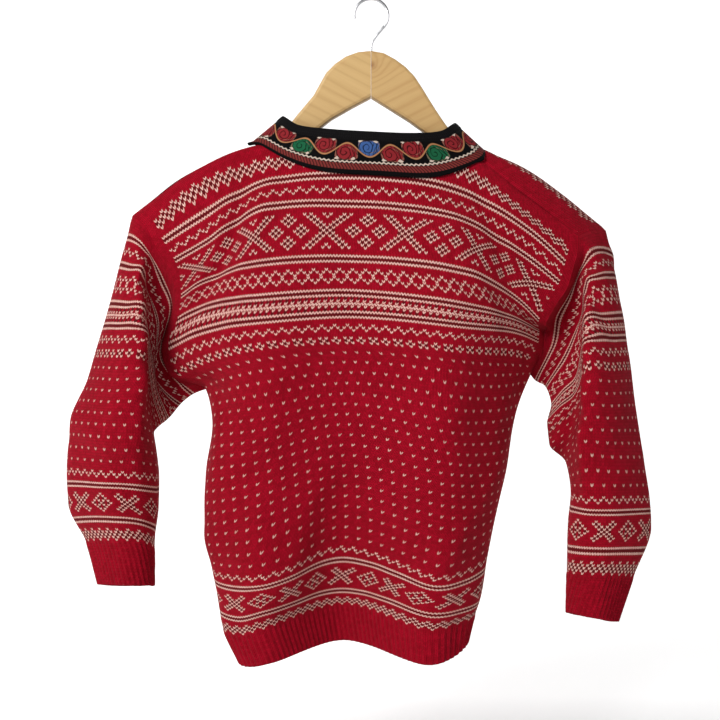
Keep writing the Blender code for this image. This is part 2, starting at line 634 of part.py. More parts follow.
def build_band(ribbon, binding):
    """The neck's woven band over the edge of the cloth, and the binding along its top."""
    foot, neck = [neck_edge(BAND_LIFT, below) for below in (BAND_OVERLAP, 0.0)]
    turn = int(np.argmax(neck[len(neck) // 2:, 1] > 0.0)) + len(neck) // 2
    foot, neck = band_ring(foot, turn), band_ring(neck, turn)
    top = band_ring(np.array(BAND_TOP, dtype=float), BAND_TOP_TURN)
    height = np.linalg.norm(top - neck, axis=1, keepdims=True)
    split = 1.0 - BINDING_HEIGHT / height
    gap = SEAM_GAP / height
    levels = [foot, neck] + [neck + (top - neck) * split * share for share in (0.33, 0.66, 1.0)]
    edging = [neck + (top - neck) * (split + gap), neck + (top - neck) * (split + 1.0) / 2, top]
    for name, rings, width, material in (("neck_band", levels, BAND_WALL, ribbon),
                                         ("neck_binding", edging, BINDING_WALL, binding)):
        rows = []
        for index, ring in enumerate(rings):
            around = np.roll(ring, -1, axis=0) - np.roll(ring, 1, axis=0)
            down = rings[max(index - 1, 0)] - rings[min(index + 1, len(rings) - 1)]
            normals = unit(np.cross(down, around))
            rows.append((ring + normals * width / 2, ring - normals * width / 2))
        wall(name, rows, material, closed=True)


def build_arm(name, top, bottom, material):
    """One arm of the hanger: its outline pushed out to the wood's thickness, edges eased."""
    sign = -1.0 if top[-1][0] < 0 else 1.0
    flat = [np.array([(x, 0.0, z) for x, z in line], dtype=float) for line in (top, bottom)]
    upper = along(smooth_curve(flat[0]), np.linspace(0, 1, 22))
    lower = along(smooth_curve(flat[1]), np.linspace(0, 1, 12))
    tip = smooth_curve(np.array([upper[-1],
                                 (upper[-1] + lower[-1]) / 2 + np.array([sign * 8.0, 0, -4.0]),
                                 lower[-1]]), upper[-2], lower[-2], 3)[1:-1]
    outline = np.vstack([upper, tip, lower[::-1]])
    outline[:, 0] += sign * MITRE_GAP / 2
    bm = bmesh.new()
    face = bm.faces.new([bm.verts.new((x * MM, -ARM_THICKNESS / 2 * MM, z * MM))
                         for x, _, z in outline])
    pushed = bmesh.ops.extrude_face_region(bm, geom=[face])
    moved = [item for item in pushed["geom"] if isinstance(item, bmesh.types.BMVert)]
    bmesh.ops.translate(bm, verts=moved, vec=(0, ARM_THICKNESS * MM, 0))
    bmesh.ops.recalc_face_normals(bm, faces=bm.faces)
    rims = [edge for edge in bm.edges
            if abs(edge.verts[0].co.y - edge.verts[1].co.y) < 1e-6
            and max(abs(v.co.x) for v in edge.verts) > MITRE_GAP * MM]
    bmesh.ops.bevel(bm, geom=rims, offset=ARM_ROUND * MM, segments=2, profile=0.5,
                    affect="EDGES", clamp_overlap=True)
    mesh = bpy.data.meshes.new(name)
    bm.to_mesh(mesh)
    bm.free()
    mesh.shade_smooth()
    mesh.set_sharp_from_angle(angle=math.radians(35))
    return add_object(name, mesh, material)


def build_hook(name, material):
    """The wire hook: a straight shank out of the arms' top, then round the crown."""
    centre = WIRE / 2 - CROWN_RADIUS
    path = [(0.0, -49.6), (0.0, -44.0), (1.5, -39.5)]
    for angle in range(-50, 201, 12):
        path.append((CROWN_RADIUS * math.cos(math.radians(angle)),
                     centre + CROWN_RADIUS * math.sin(math.radians(angle))))
    flat = smooth_curve(np.array([(x, 0.0, z) for x, z in path]), steps=2)
    curve = bpy.data.curves.new(name, "CURVE")
    curve.dimensions = "3D"
    curve.bevel_depth = WIRE / 2 * MM
    curve.bevel_resolution = 2
    curve.use_fill_caps = True
    spline = curve.splines.new("POLY")
    spline.points.add(len(flat) - 1)
    for point, place in zip(spline.points, flat):
        point.co = (*(place * MM), 1.0)
    curve.materials.append(material)
    piece = bpy.data.objects.new(name, curve)
    bpy.context.collection.objects.link(piece)
    return piece


def main():
    for piece in list(bpy.data.objects):
        bpy.data.objects.remove(piece)
    knit = principled("knit_red", KNIT, 0.9)
    pine = principled("pine", PINE, 0.5)
    seams = Seams()
    build_panel("back", False, seams, knit)
    build_panel("front", True, seams, knit)
    build_sleeve("sleeve_left", "left", seams, knit)
    build_sleeve("sleeve_right", "right", seams, knit)
    build_band(principled("ribbon", RIBBON, 0.7), principled("binding_black", BLACK, 0.8))
    build_arm("hanger_arm_left", LEFT_ARM_TOP, LEFT_ARM_BOTTOM, pine)
    build_arm("hanger_arm_right", RIGHT_ARM_TOP, RIGHT_ARM_BOTTOM, pine)
    build_hook("hanger_hook", principled("steel", STEEL, 0.3, 1.0))


main()
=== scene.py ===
import math

import bmesh
import bpy
import numpy as np
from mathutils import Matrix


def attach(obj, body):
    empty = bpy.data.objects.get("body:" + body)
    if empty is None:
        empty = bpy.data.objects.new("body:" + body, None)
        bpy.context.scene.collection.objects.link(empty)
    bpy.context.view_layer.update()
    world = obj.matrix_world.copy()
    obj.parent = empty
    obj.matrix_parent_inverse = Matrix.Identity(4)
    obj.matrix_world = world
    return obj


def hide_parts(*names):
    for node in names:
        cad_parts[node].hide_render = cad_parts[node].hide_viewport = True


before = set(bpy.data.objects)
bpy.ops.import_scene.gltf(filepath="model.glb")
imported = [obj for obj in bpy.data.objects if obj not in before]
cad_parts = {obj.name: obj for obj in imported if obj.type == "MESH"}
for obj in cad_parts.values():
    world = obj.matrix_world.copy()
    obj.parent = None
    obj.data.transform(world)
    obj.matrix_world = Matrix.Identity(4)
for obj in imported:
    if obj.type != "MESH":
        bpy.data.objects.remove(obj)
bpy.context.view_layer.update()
mm = 0.001

# A child's stranded sweater on a hanger, seen from its back, which faces -Y.  Places are in
# millimetres in the model's own frame and become metres in each mesh.  The cloth is laid out
# in knitting terms, as the solids are: a row is a course of stitches counted down from the
# yoke's first stripe, a column is one of the 280 stitches round the body.

body = {
    "panelStitches": 140,
    "stitch": 2.94,              # width of a stitch
    "course": 2.5,               # height of a row, on the sleeves too
    "shoulderRow": -15,
    "underarmRow": 70,
    "ribRow": 172,
    "hemRow": 186,
    "neckLeft": 40,              # columns where the shoulder seams meet the neck
    "neckRight": 105,
    "backNeck": (13.0, 3.4),     # rows that the neckline drops, and how square it is
    "frontNeck": (23.0, 4.5),
    "halfWall": 1.2,
    "ribHeight": 0.8,            # half of a rib's height over its furrow
    "yokeCross": 58,             # a column in the middle of a large cross, and at the hem
    "hemCross": 86,
    "margin": 3,                 # plain stitches beside each armhole
    "seamDepth": 0.8,            # how far the cloth draws in along a seam
    "seamReach": 1.2,            # and over how many stitches
    "drop": 0.7,                 # rows that a stitch's middle hangs under its sides
    "ripples": (0.35, 0.25),     # heights of the small unevenness all over
    "creaseFade": 8,             # stitches beside a seam over which creases die out
    "liningRow": 15.4,           # where the lining's rows begin to close up under the neck
    "frontLiningRow": 21.4,
}
bodyStitches = 2 * body["panelStitches"]
hair = 0.01                      # columns that keep a place on its own side of a seam
uvStitches = 300                 # stitches and rows over the whole of a UV map
uvBand = (500, 100)              # millimetres along and up over the whole of a band's UV map

# The back half of the body's ring at each station, from its left edge to its right.
backTable = (
    # row  left edge           left hollow         left chest          middle
    #      right chest         right hollow        right edge
    (-15, (-231, 0, -209), (-180, 0, -171), (-119, 0, -143), (-11, -2, -130),
     (81, -6, -143), (143, -20, -190), (196, -22, -231)),
    (-13, (-227, -5, -212), (-178, -5, -173), (-118, -5, -145), (-11, -5, -136),
     (81, -8, -147), (143, -22, -194), (196, -23, -236)),
    (-8, (-216, -12, -222), (-172, -12, -183), (-116, -12, -160), (-11, -12, -151),
     (81, -14, -160), (143, -26, -206), (195, -24, -248)),
    (-1, (-207, -16, -239), (-163, -20, -211), (-108, -20, -181), (-13, -22, -172),
     (82, -24, -186), (146, -30, -223), (191, -24, -262)),
    (9, (-196, -14, -256), (-156, -24, -235), (-107, -30, -206), (-14, -30, -200),
     (83, -36, -215), (144, -30, -248), (186, -22, -280)),
    (19, (-190, -10, -273), (-157, -22, -256), (-106, -36, -232), (-14, -36, -226),
     (84, -48, -240), (140, -34, -269), (176, -22, -295)),
    (29, (-189, -6, -290), (-155, -22, -271), (-102, -42, -257), (-15, -42, -253),
     (85, -58, -266), (132, -36, -287), (166, -18, -315)),
    (42, (-193, 0, -312), (-163, -18, -298), (-101, -48, -291), (-20, -46, -285),
     (83, -64, -297), (128, -34, -307), (169, 8, -322)),
    (50, (-203, 6, -336), (-165, -20, -322), (-101, -50, -313), (-20, -47, -305),
     (82, -66, -315), (125, -34, -320), (169, 8, -331)),
    (60, (-196, 2, -363), (-160, -22, -348), (-101, -50, -336), (-20, -47, -329),
     (80, -67, -337), (121, -36, -341), (162, 4, -347)),
    (70, (-161, 9, -376), (-146, -22, -370), (-101, -50, -360), (-22, -46, -351),
     (78, -68, -360), (117, -38, -364), (156, 11, -361)),
    (85, (-152, -5, -411), (-139, -30, -407), (-100, -48, -401), (-24, -42, -387),
     (76, -70, -403), (110, -44, -405), (139, 0, -401)),
    (105, (-158, -8, -463), (-140, -36, -458), (-101, -50, -451), (-26, -38, -435),
     (72, -72, -451), (104, -48, -454), (130, -6, -451)),
    (125, (-159, -14, -513), (-139, -40, -509), (-102, -54, -501), (-27, -32, -484),
     (65, -70, -501), (94, -51, -502), (118, -14, -498)),
    (142, (-150, -20, -549), (-131, -42, -550), (-100, -57, -547), (-28, -24, -527),
     (58, -63, -548), (86, -48, -545), (109, -18, -537)),
    (163, (-141, -30, -586), (-122, -46, -588), (-97, -53, -580), (-28, -12, -569),
     (55, -58, -582), (84, -48, -580), (101, -26, -577)),
    (172, (-137, -32, -603), (-120, -44, -604), (-99, -49, -597), (-26, -8, -584),
     (54, -53, -598), (80, -43, -594), (96, -26, -591)),
    (186, (-123, -32, -634), (-111, -46, -633), (-92, -51, -628), (-26, -8, -618),
     (52, -54, -629), (75, -45, -625), (89, -27, -618)),
)

# The front half at the same stations; it shares the side edges below the underarm.
frontTable = (
    (-15, (-231, 0, -209), (-180, 0, -171), (-119, 0, -143), (-11, -2, -130),
     (81, -6, -143), (143, -20, -190), (196, -22, -231)),
    (-13, (-231, 4, -211), (-180, 5, -172), (-119, 5, -144), (-11, 2, -134),
     (82, -3, -140), (146, -16, -184), (202, -18, -228)),
    (-8, (-230, 11, -218), (-178, 13, -180), (-119, 13, -153), (-11, 10, -143),
     (84, 4, -137), (152, -8, -172), (217, -6, -223)),
    (-3, (-228, 15, -229), (-174, 18, -193), (-115, 19, -164), (-11, 17, -154),
     (86, 11, -138), (157, 5, -168), (229, 6, -223)),
    (9, (-220, 20, -252), (-170, 24, -222), (-112, 28, -190), (-13, 26, -183),
     (91, 24, -168), (158, 22, -198), (226, 18, -252)),
    (29, (-209, 24, -294), (-166, 34, -271), (-110, 42, -240), (-15, 38, -233),
     (92, 40, -220), (150, 34, -251), (210, 24, -297)),
    (50, (-191, 26, -339), (-162, 40, -321), (-108, 52, -293), (-17, 48, -288),
     (91, 54, -275), (142, 40, -305), (187, 27, -334)),
    (60, (-180, 26, -359), (-155, 42, -346), (-107, 57, -322), (-18, 50, -315),
     (91, 59, -307), (137, 42, -330), (173, 26, -349)),
    (70, (-161, 9, -376), (-147, 44, -369), (-105, 62, -351), (-19, 52, -343),
     (90, 64, -339), (131, 45, -353), (156, 11, -361)),
    (85, (-152, -5, -411), (-146, 50, -404), (-90, 80, -394), (-5, 48, -388),
     (75, 78, -392), (128, 50, -398), (139, 0, -401)),
    (105, (-158, -8, -463), (-150, 52, -454), (-88, 86, -444), (-2, 34, -437),
     (70, 84, -442), (122, 52, -448), (130, -6, -451)),
    (125, (-159, -14, -513), (-148, 48, -504), (-84, 88, -494), (0, 26, -487),
     (66, 86, -492), (112, 52, -496), (118, -14, -498)),
    (142, (-150, -20, -549), (-142, 42, -544), (-80, 90, -536), (2, 22, -530),
     (62, 88, -534), (106, 48, -536), (109, -18, -537)),
    (163, (-141, -30, -586), (-134, 36, -582), (-76, 84, -576), (4, 20, -571),
     (58, 82, -574), (98, 44, -576), (101, -26, -577)),
    (172, (-137, -32, -603), (-130, 32, -600), (-74, 80, -594), (4, 20, -588),
     (56, 78, -591), (94, 40, -591), (96, -26, -591)),
    (186, (-123, -32, -634), (-122, 30, -632), (-72, 78, -627), (4, 20, -622),
     (54, 76, -624), (90, 38, -620), (89, -27, -618)),
)

# How far the body is turned: the ring's columns that lie on its edges as it hangs.
turnTable = (
    # row, column on the left edge, column on the right edge
    (-15, 0, 140),
    (70, 0, 140),
    (85, 6, 133),
    (105, 14, 131),
    (125, 23, 132),
    (142, 32, 135),
    (163, 37, 139),
    (172, 38, 140),
    (186, 38, 140),
)

sleeve = {
    "armholeRows": 85,           # rows of the body that each armhole takes
    "ribRow": 119,
    "cuffRow": 135,
    "speckle": 5,                # stitches from the outer fold to a column of speckles
    "leftCross": 10,             # and to the middle of a cross over each cuff
    "rightCross": 5,
    "halfWall": 1.2,
    "ribHeight": 0.7,
    "stitch": 2.65,              # width of a stitch in the table of creases
    "ripple": 0.3,
    "ringSteps": 110,            # places round each half of a ring
    # row of the charts, row of the ring tables, width of a stitch there
    "courses": ((0, 0, 2.75), (6, 6, 2.75), (16, 14, 2.75), (22.5, 20, 2.75),
                (29, 27, 2.75), (33, 31, 2.75), (37, 35, 2.75), (42, 40, 2.72),
                (47, 45, 2.7), (52, 50, 2.7), (89, 87, 2.6), (94, 93, 2.55),
                (102, 103, 2.5), (110, 110, 2.45), (116, 116, 2.4), (119, 119, 2.35),
                (135, 135, 2.25)),
}

# Each sleeve's ring at each station, from its outer fold round the back.
leftSleeveTable = (
    # row  outer fold  back  crest  behind the crest  hollow  sag  underarm fold
    #      front sag  front  front outer
    (6, (-235, 0, -229), (-220, -18, -237), (-210, -10, -252), (-201, -2, -272),
     (-194, 6, -295), (-205, 14, -347), (-175, 14, -381), (-203, 34, -344),
     (-222, 31, -284), (-233, 17, -243)),
    (14, (-243, 2, -255), (-228, -20, -259), (-217, -28, -261), (-218, -4, -279),
     (-208, 8, -310), (-212, 16, -367), (-187, 12, -391), (-212, 36, -353),
     (-230, 39, -302), (-241, 23, -262)),
    (27, (-253, 4, -293), (-231, -30, -295), (-215, -38, -296), (-218, -6, -312),
     (-215, 4, -341), (-210, 8, -378), (-199, 10, -405), (-220, 36, -375),
     (-238, 44, -326), (-251, 30, -297)),
    (40, (-264, 6, -328), (-233, -38, -328), (-212, -46, -329), (-216, -12, -345),
     (-216, -4, -366), (-212, -6, -390), (-207, 4, -412), (-220, 28, -391),
     (-237, 44, -354), (-261, 34, -331)),
    (55, (-275, 4, -368), (-236, -44, -368), (-211, -50, -368), (-213, -24, -383),
     (-212, -16, -395), (-212, -12, -405), (-211, -2, -417), (-223, 24, -411),
     (-243, 42, -389), (-271, 32, -373)),
    (70, (-291, 2, -408), (-245, -44, -407), (-216, -46, -408), (-211, -32, -413),
     (-210, -20, -417), (-211, -10, -419), (-212, 0, -421), (-226, 24, -421),
     (-254, 38, -417), (-284, 26, -412)),
    (87, (-294, 0, -456), (-248, -38, -454), (-221, -36, -454), (-211, -24, -456),
     (-207, -14, -458), (-207, -6, -459), (-208, 4, -460), (-223, 22, -462),
     (-253, 34, -462), (-283, 22, -459)),
    (103, (-293, 0, -488), (-245, -34, -482), (-220, -30, -483), (-211, -20, -485),
     (-207, -10, -487), (-207, -3, -488), (-208, 4, -489), (-221, 20, -491),
     (-252, 30, -492), (-282, 20, -490)),
    (119, (-275, 0, -526), (-240, -27, -520), (-221, -25, -520), (-213, -17, -523),
     (-211, -9, -525), (-211, -3, -527), (-212, 3, -528), (-224, 17, -529),
     (-247, 25, -530), (-267, 16, -528)),
    (135, (-264, 0, -566), (-235, -24, -562), (-221, -22, -563), (-213, -15, -564),
     (-211, -8, -566), (-211, -3, -567), (-212, 2, -568), (-222, 15, -570),
     (-242, 21, -572), (-258, 14, -570)),
)
rightSleeveTable = (
    (6, (209, -19, -245), (203, -14, -257), (199, -10, -266), (191, -2, -287),
     (181, 4, -307), (178, 8, -332), (163, 16, -368), (200, 36, -336),
     (226, 34, -286), (237, 12, -246)),
    (14, (224, -16, -266), (212, -26, -269), (204, -28, -272), (205, -4, -303),
     (197, 4, -327), (188, 8, -347), (173, 16, -374), (207, 40, -347),
     (231, 42, -301), (240, 14, -268)),
    (27, (240, -8, -304), (219, -30, -306), (202, -38, -306), (204, -6, -339),
     (199, 0, -366), (188, 2, -378), (178, 10, -392), (208, 38, -364),
     (232, 46, -329), (245, 22, -305)),
    (40, (250, 6, -339), (219, -38, -340), (199, -46, -340), (203, -12, -370),
     (196, -6, -388), (183, -6, -399), (173, 4, -411), (199, 28, -387),
     (226, 44, -359), (248, 34, -342)),
    (55, (255, 4, -382), (220, -44, -381), (196, -50, -381), (199, -24, -400),
     (192, -16, -414), (182, -12, -423), (174, -2, -430), (194, 24, -416),
     (223, 42, -395), (249, 32, -386)),
    (70, (261, 2, -428), (220, -42, -424), (195, -44, -423), (192, -30, -433),
     (190, -20, -440), (189, -10, -444), (190, 0, -447), (208, 24, -444),
     (233, 38, -436), (256, 26, -432)),
    (87, (269, 0, -482), (225, -36, -478), (203, -34, -478), (196, -24, -478),
     (193, -14, -478), (194, -6, -478), (196, 4, -479), (209, 22, -483),
     (236, 34, -486), (261, 22, -485)),
    (103, (271, 0, -512), (226, -32, -509), (203, -28, -509), (194, -18, -509),
     (191, -10, -510), (192, -3, -510), (193, 4, -510), (207, 20, -515),
     (235, 30, -519), (260, 20, -516)),
    (119, (254, 0, -558), (221, -26, -552), (204, -24, -552), (195, -16, -553),
     (191, -9, -553), (191, -3, -553), (192, 3, -554), (203, 17, -559),
     (227, 25, -563), (246, 16, -561)),
    (135, (239, 0, -602), (215, -23, -594), (201, -20, -592), (193, -13, -591),
     (190, -7, -592), (190, -3, -593), (191, 2, -594), (201, 15, -599),
     (219, 21, -603), (233, 14, -605)),
)

collar = {
    "wall": 2.0,
    "lift": 3.4,                 # from the middle of the cloth to the middle of the band
    "overlap": 1.8,              # rows of cloth under the band
    "spans": 96,                 # mesh columns over the back, and over the front
    "bindingHeight": 8.5,
    "bindingWall": 3.4,
    "inset": 0.06,               # columns kept clear of the side seams
    "evened": (25, 42),          # places of the foot ring that are evened out
    "evenings": 6,
}

# The top of the collar over the back from the left corner to the right, and home in front.
bandTop = ((-84.5, 0, -113), (-80, -10, -117), (-70, -15.5, -124), (-42, -24, -129.5),
           (1, -28, -133), (41, -26, -134), (67, -16, -130), (76, -9, -123.5),
           (80.5, 0, -119.5), (75, 10, -124), (61, 19, -132), (40, 28, -142), (0, 33, -147),
           (-38, 28, -140), (-66, 16, -129), (-79, 10, -119))
bandTopTurn = 8                  # the right corner


# How the stitches have slid over the form: middle of the slide as row and column, its reach
# in rows and in columns, then how many columns and rows the stitches there have moved.
backSlides = (
    (18, 42, 34, 15, -2.4, 0.0),
    (18, 61, 30, 12, -1.2, 0.0),
    (18, 95, 26, 9, 0.9, 0.0),
    (14, 110, 26, 8, -0.5, 0.0),
    (18, 126, 26, 10, -3.2, 0.0),
    (52, 34, 14, 20, 0.0, -1.3),
    (54, 128, 14, 12, -1.5, -1.3),
    (158, 80, 45, 55, -3.3, 0.0),
    (158, 112, 32, 16, -3.7, 0.0),
    (152, 98, 25, 38, 0.0, -0.9),
)
leftSlides = (
    (108, 6, 22, 16, 0.0, -1.1),
    (110, 42, 22, 10, 0.0, 2.2),
)


# Soft creases: where one starts and ends, as row and column, how far it bows sideways, its
# half width and its height in millimetres.  A trough's height is less than nothing.
backCreases = (
    (-9, 36, 48, 8, 4, 10, -4.5),
    (-6, 44, 44, 22, 5, 9, 2.6),
    (0, 26, 40, 3, 3, 8, 1.6),
    (18, 40, 78, 24, -5, 10, 1.4),
    (-6, 103, 30, 128, -4, 11, -2.6),
    (4, 92, 58, 118, 5, 12, 1.6),
    (60, 4, 84, 20, -4, 9, -1.8),
    (72, 6, 112, 22, 6, 10, 1.6),
    (62, 136, 92, 122, 4, 9, -1.8),
    (84, 128, 140, 116, -6, 12, 1.5),
    (96, 40, 150, 34, 5, 14, -1.5),
    (104, 62, 160, 70, -4, 15, 1.3),
    (120, 92, 166, 98, 5, 12, -1.3),
    (52, 60, 152, 64, 3, 32, 5.5),
    (48, 104, 160, 109, -3, 31, -6.0),
)
frontCreases = (
    (-6, 241, 46, 268, 5, 11, -2.8),
    (2, 250, 38, 276, -3, 9, 1.9),
    (-6, 176, 34, 152, 4, 11, -2.4),
    (14, 186, 66, 164, -5, 12, 1.5),
    (58, 276, 90, 262, 4, 9, -1.7),
    (60, 144, 92, 158, -4, 9, -1.7),
    (88, 242, 146, 236, 5, 13, -1.4),
    (98, 216, 156, 210, -5, 15, 1.3),
    (110, 186, 162, 180, 4, 12, -1.4),
)
# On a sleeve the columns count from its outer fold, over the back and then below nothing
# over the front.
leftCreases = (
    (4, 10, 40, 18, 3, 9, -1.6),
    (30, 28, 66, 38, -3, 8, 1.2),
    (66, 2, 74, 30, 3, 5, -1.6),
    (72, 4, 80, 34, -2, 5, 1.4),
    (78, 0, 88, 28, 2, 6, -1.4),
    (10, -14, 52, -26, 4, 9, -1.5),
    (66, -4, 78, -30, 3, 6, -1.4),
    (74, -6, 86, -28, -2, 6, 1.3),
)
rightCreases = (
    (6, 8, 44, 14, 3, 8, -1.5),
    (34, 24, 70, 32, -3, 8, 1.2),
    (68, 4, 80, 30, 3, 6, -1.4),
    (76, 2, 88, 30, -2, 6, 1.3),
    (8, -12, 50, -24, 4, 9, -1.5),
    (68, -4, 80, -28, 3, 6, -1.4),
    (78, -6, 90, -30, -2, 6, 1.2),
)


class Sections:
    # values that change smoothly, without overshoot, between a table's sections
    def __init__(self, keys, values):
        self.keys = np.array(keys, dtype=float)
        self.values = np.array(values, dtype=float)
        steps = np.diff(self.keys).reshape((-1,) + (1,) * (self.values.ndim - 1))
        slopes = np.diff(self.values, axis=0) / steps
        before, after = steps[:-1], steps[1:]
        sameWay = slopes[:-1] * slopes[1:] > 0
        first = np.where(sameWay, slopes[:-1], 1.0)
        second = np.where(sameWay, slopes[1:], 1.0)
        weights = (before + 2 * after) / first + (2 * before + after) / second
        inner = np.where(sameWay, 3 * (before + after) / weights, 0.0)
        self.tangents = np.concatenate([slopes[:1], inner, slopes[-1:]])

    def at(self, key):
        index = int(np.clip(np.searchsorted(self.keys, key) - 1, 0, len(self.keys) - 2))
        step = self.keys[index + 1] - self.keys[index]
        u = (key - self.keys[index]) / step
        return ((2 * u ** 3 - 3 * u ** 2 + 1) * self.values[index]
                + (u ** 3 - 2 * u ** 2 + u) * step * self.tangents[index]
                + (3 * u ** 2 - 2 * u ** 3) * self.values[index + 1]
                + (u ** 3 - u ** 2) * step * self.tangents[index + 1])


def fromTable(table):
    return Sections([line[0] for line in table], [line[1:] for line in table])


def smoothCurve(points, before=None, after=None, steps=16):
    points = np.asarray(points, dtype=float)
    before = 2 * points[0] - points[1] if before is None else before
    after = 2 * points[-1] - points[-2] if after is None else after
    chain = np.vstack([before, points, after])
    spans = np.sqrt(np.linalg.norm(np.diff(chain, axis=0), axis=1))
    u = (np.arange(steps) / steps)[:, None]
    curve = []
    for i in range(1, len(chain) - 2):
        a, b, c, d = chain[i - 1:i + 3]
        first, span, last = spans[i - 1:i + 2]
        start = (c - b) - span * ((c - a) / (first + span) - (b - a) / first)
        end = (c - b) - span * ((d - b) / (span + last) - (d - c) / last)
        curve.append((2 * u ** 3 - 3 * u ** 2 + 1) * b + (u ** 3 - 2 * u ** 2 + u) * start
                     + (3 * u ** 2 - 2 * u ** 3) * c + (u ** 3 - u ** 2) * end)
    curve.append(points[-1:])
    return np.vstack(curve)


def lengthsOf(curve):
    return np.concatenate([[0.0], np.cumsum(np.linalg.norm(np.diff(curve, axis=0), axis=1))])


def atPlaces(places, known, values):
    return np.stack([np.interp(places, known, values[:, axis]) for axis in range(3)], axis=1)


def along(curve, shares):
    lengths = lengthsOf(curve)
    return atPlaces(np.asarray(shares, dtype=float) * lengths[-1], lengths, curve)


def unit(vectors):
    return vectors / np.maximum(np.linalg.norm(vectors, axis=-1, keepdims=True), 1e-9)


def mitre(*directions):
    mean = unit(sum(directions))
    return mean / np.maximum(np.sum(mean * directions[0], axis=-1, keepdims=True), 0.62)


def smoothstep(low, high, value):
    share = np.clip((value - low) / (high - low), 0.0, 1.0)
    return share * share * (3.0 - 2.0 * share)


backSections = fromTable(backTable)
frontSections = fromTable(frontTable)
turnSections = fromTable(turnTable)


def bodyPoints(row, columns):
    back = backSections.at(row)
    front = frontSections.at(row)
    leftColumn, rightColumn = turnSections.at(row)
    joined = smoothstep(body["underarmRow"] - 12, body["underarmRow"], row)
    curves = []
    for half, other in ((back, front), (front, back)):
        left = (1 - joined) * (2 * half[0] - half[1]) + joined * other[1]
        right = (1 - joined) * (2 * half[-1] - half[-2]) + joined * other[-2]
        curves.append(smoothCurve(half, left, right))
    around = leftColumn + np.mod(np.asarray(columns, dtype=float) - leftColumn, bodyStitches)
    backShare = (around - leftColumn) / (rightColumn - leftColumn)
    frontShare = (around - rightColumn) / (bodyStitches + leftColumn - rightColumn)
    onBack = along(curves[0], np.clip(backShare, 0, 1))
    onFront = along(curves[1][::-1], np.clip(frontShare, 0, 1))
    return np.where((backShare <= 1.0)[:, None], onBack, onFront)


def bodyNormals(row, columns, low, high):
    across = (bodyPoints(row, np.minimum(columns + 1, high))
              - bodyPoints(row, np.maximum(columns - 1, low)))
    down = (bodyPoints(min(row + 1, body["hemRow"]), columns)
            - bodyPoints(max(row - 1, body["shoulderRow"]), columns))
    return unit(np.cross(down, across))


def neckRow(column, shape):
    middle = (body["neckLeft"] + body["neckRight"]) / 2
    reach = (body["neckRight"] - body["neckLeft"]) / 2
    q = np.minimum(np.abs(column - middle) / reach, 1.0)
    return body["shoulderRow"] + shape[0] * (1.0 - q ** shape[1])


def slideOf(slides, rows, columns):
    aside, lowered = np.zeros(rows.shape), np.zeros(rows.shape)
    for row, column, rowReach, columnReach, right, lower in slides:
        share = np.exp(-((rows - row) / rowReach) ** 2 - ((columns - column) / columnReach) ** 2)
        aside += share * right
        lowered += share * lower
    return aside, lowered


# The cloth's depth under its own level at a seam, from the distance to the seam in stitches.
def seamDepth(away):
    return body["seamDepth"] * np.exp(-(away / body["seamReach"]) ** 2)


# 1 along an armhole, and nothing from the underarm down.
def armholeShare(row):
    return 1 - smoothstep(body["underarmRow"] - 10, body["underarmRow"], row)


# A panel's middle surface and its outward directions, on every half row and half column.
def panelSurface(front, slides=()):
    start = body["panelStitches"] if front else 0
    end = start + body["panelStitches"]
    rows = np.arange(2 * body["shoulderRow"], 2 * body["hemRow"] + 1) / 2
    columns = np.clip(np.arange(2 * start, 2 * end + 1) / 2, start + hair, end - hair)
    across, down = np.broadcast_arrays(columns[None, :], rows[:, None])
    hold = smoothstep(0, 9, across - start) * smoothstep(0, 9, end - across)
    hold = hold * smoothstep(0, 10, down - rows[0])
    aside, lowered = slideOf(slides, down, across)
    aside, lowered = aside * hold, lowered * hold * smoothstep(0, 10, rows[-1] - down)
    points = np.empty(across.shape + (3,))
    for index, row in enumerate(rows):
        points[index] = bodyPoints(row, across[index] + aside[index])
    if lowered.any():
        flat = points.copy()
        for index in range(points.shape[1]):
            points[:, index] = atPlaces(rows + lowered[:, index], rows, flat[:, index])
    normals = np.cross(np.gradient(points, axis=0), np.gradient(points, axis=1))
    # below the underarm the two panels share their edges' directions
    for edge in (0, -1):
        for index, row in enumerate(rows):
            if row > body["underarmRow"]:
                column = columns[edge]
                around = bodyPoints(row, np.array([column + 0.6, column - 0.6]))
                down = np.gradient(points[:, edge], axis=0)[index]
                normals[index, edge] = np.cross(down, around[0] - around[1])
    return {"rows": rows, "columns": columns, "points": points, "normals": unit(normals)}


def armholeRing(side, shares):
    rows = body["shoulderRow"] + sleeve["armholeRows"] * shares
    if side == "left":
        columns = (hair, bodyStitches - hair)
    else:
        columns = (body["panelStitches"] - hair, body["panelStitches"] + hair)
    down = [bodyPoints(row, np.array(columns[:1]))[0] for row in rows]
    up = [bodyPoints(row, np.array(columns[1:]))[0] for row in rows[-2:0:-1]]
    return np.array(down + up)


def sleeveRing(stations, shares):
    back = smoothCurve(stations[:7], stations[-1], stations[7])
    front = smoothCurve(np.vstack([stations[6:], stations[:1]]), stations[5], stations[1])
    return np.vstack([along(back, shares), along(front, 1.0 - shares[-2:0:-1])])


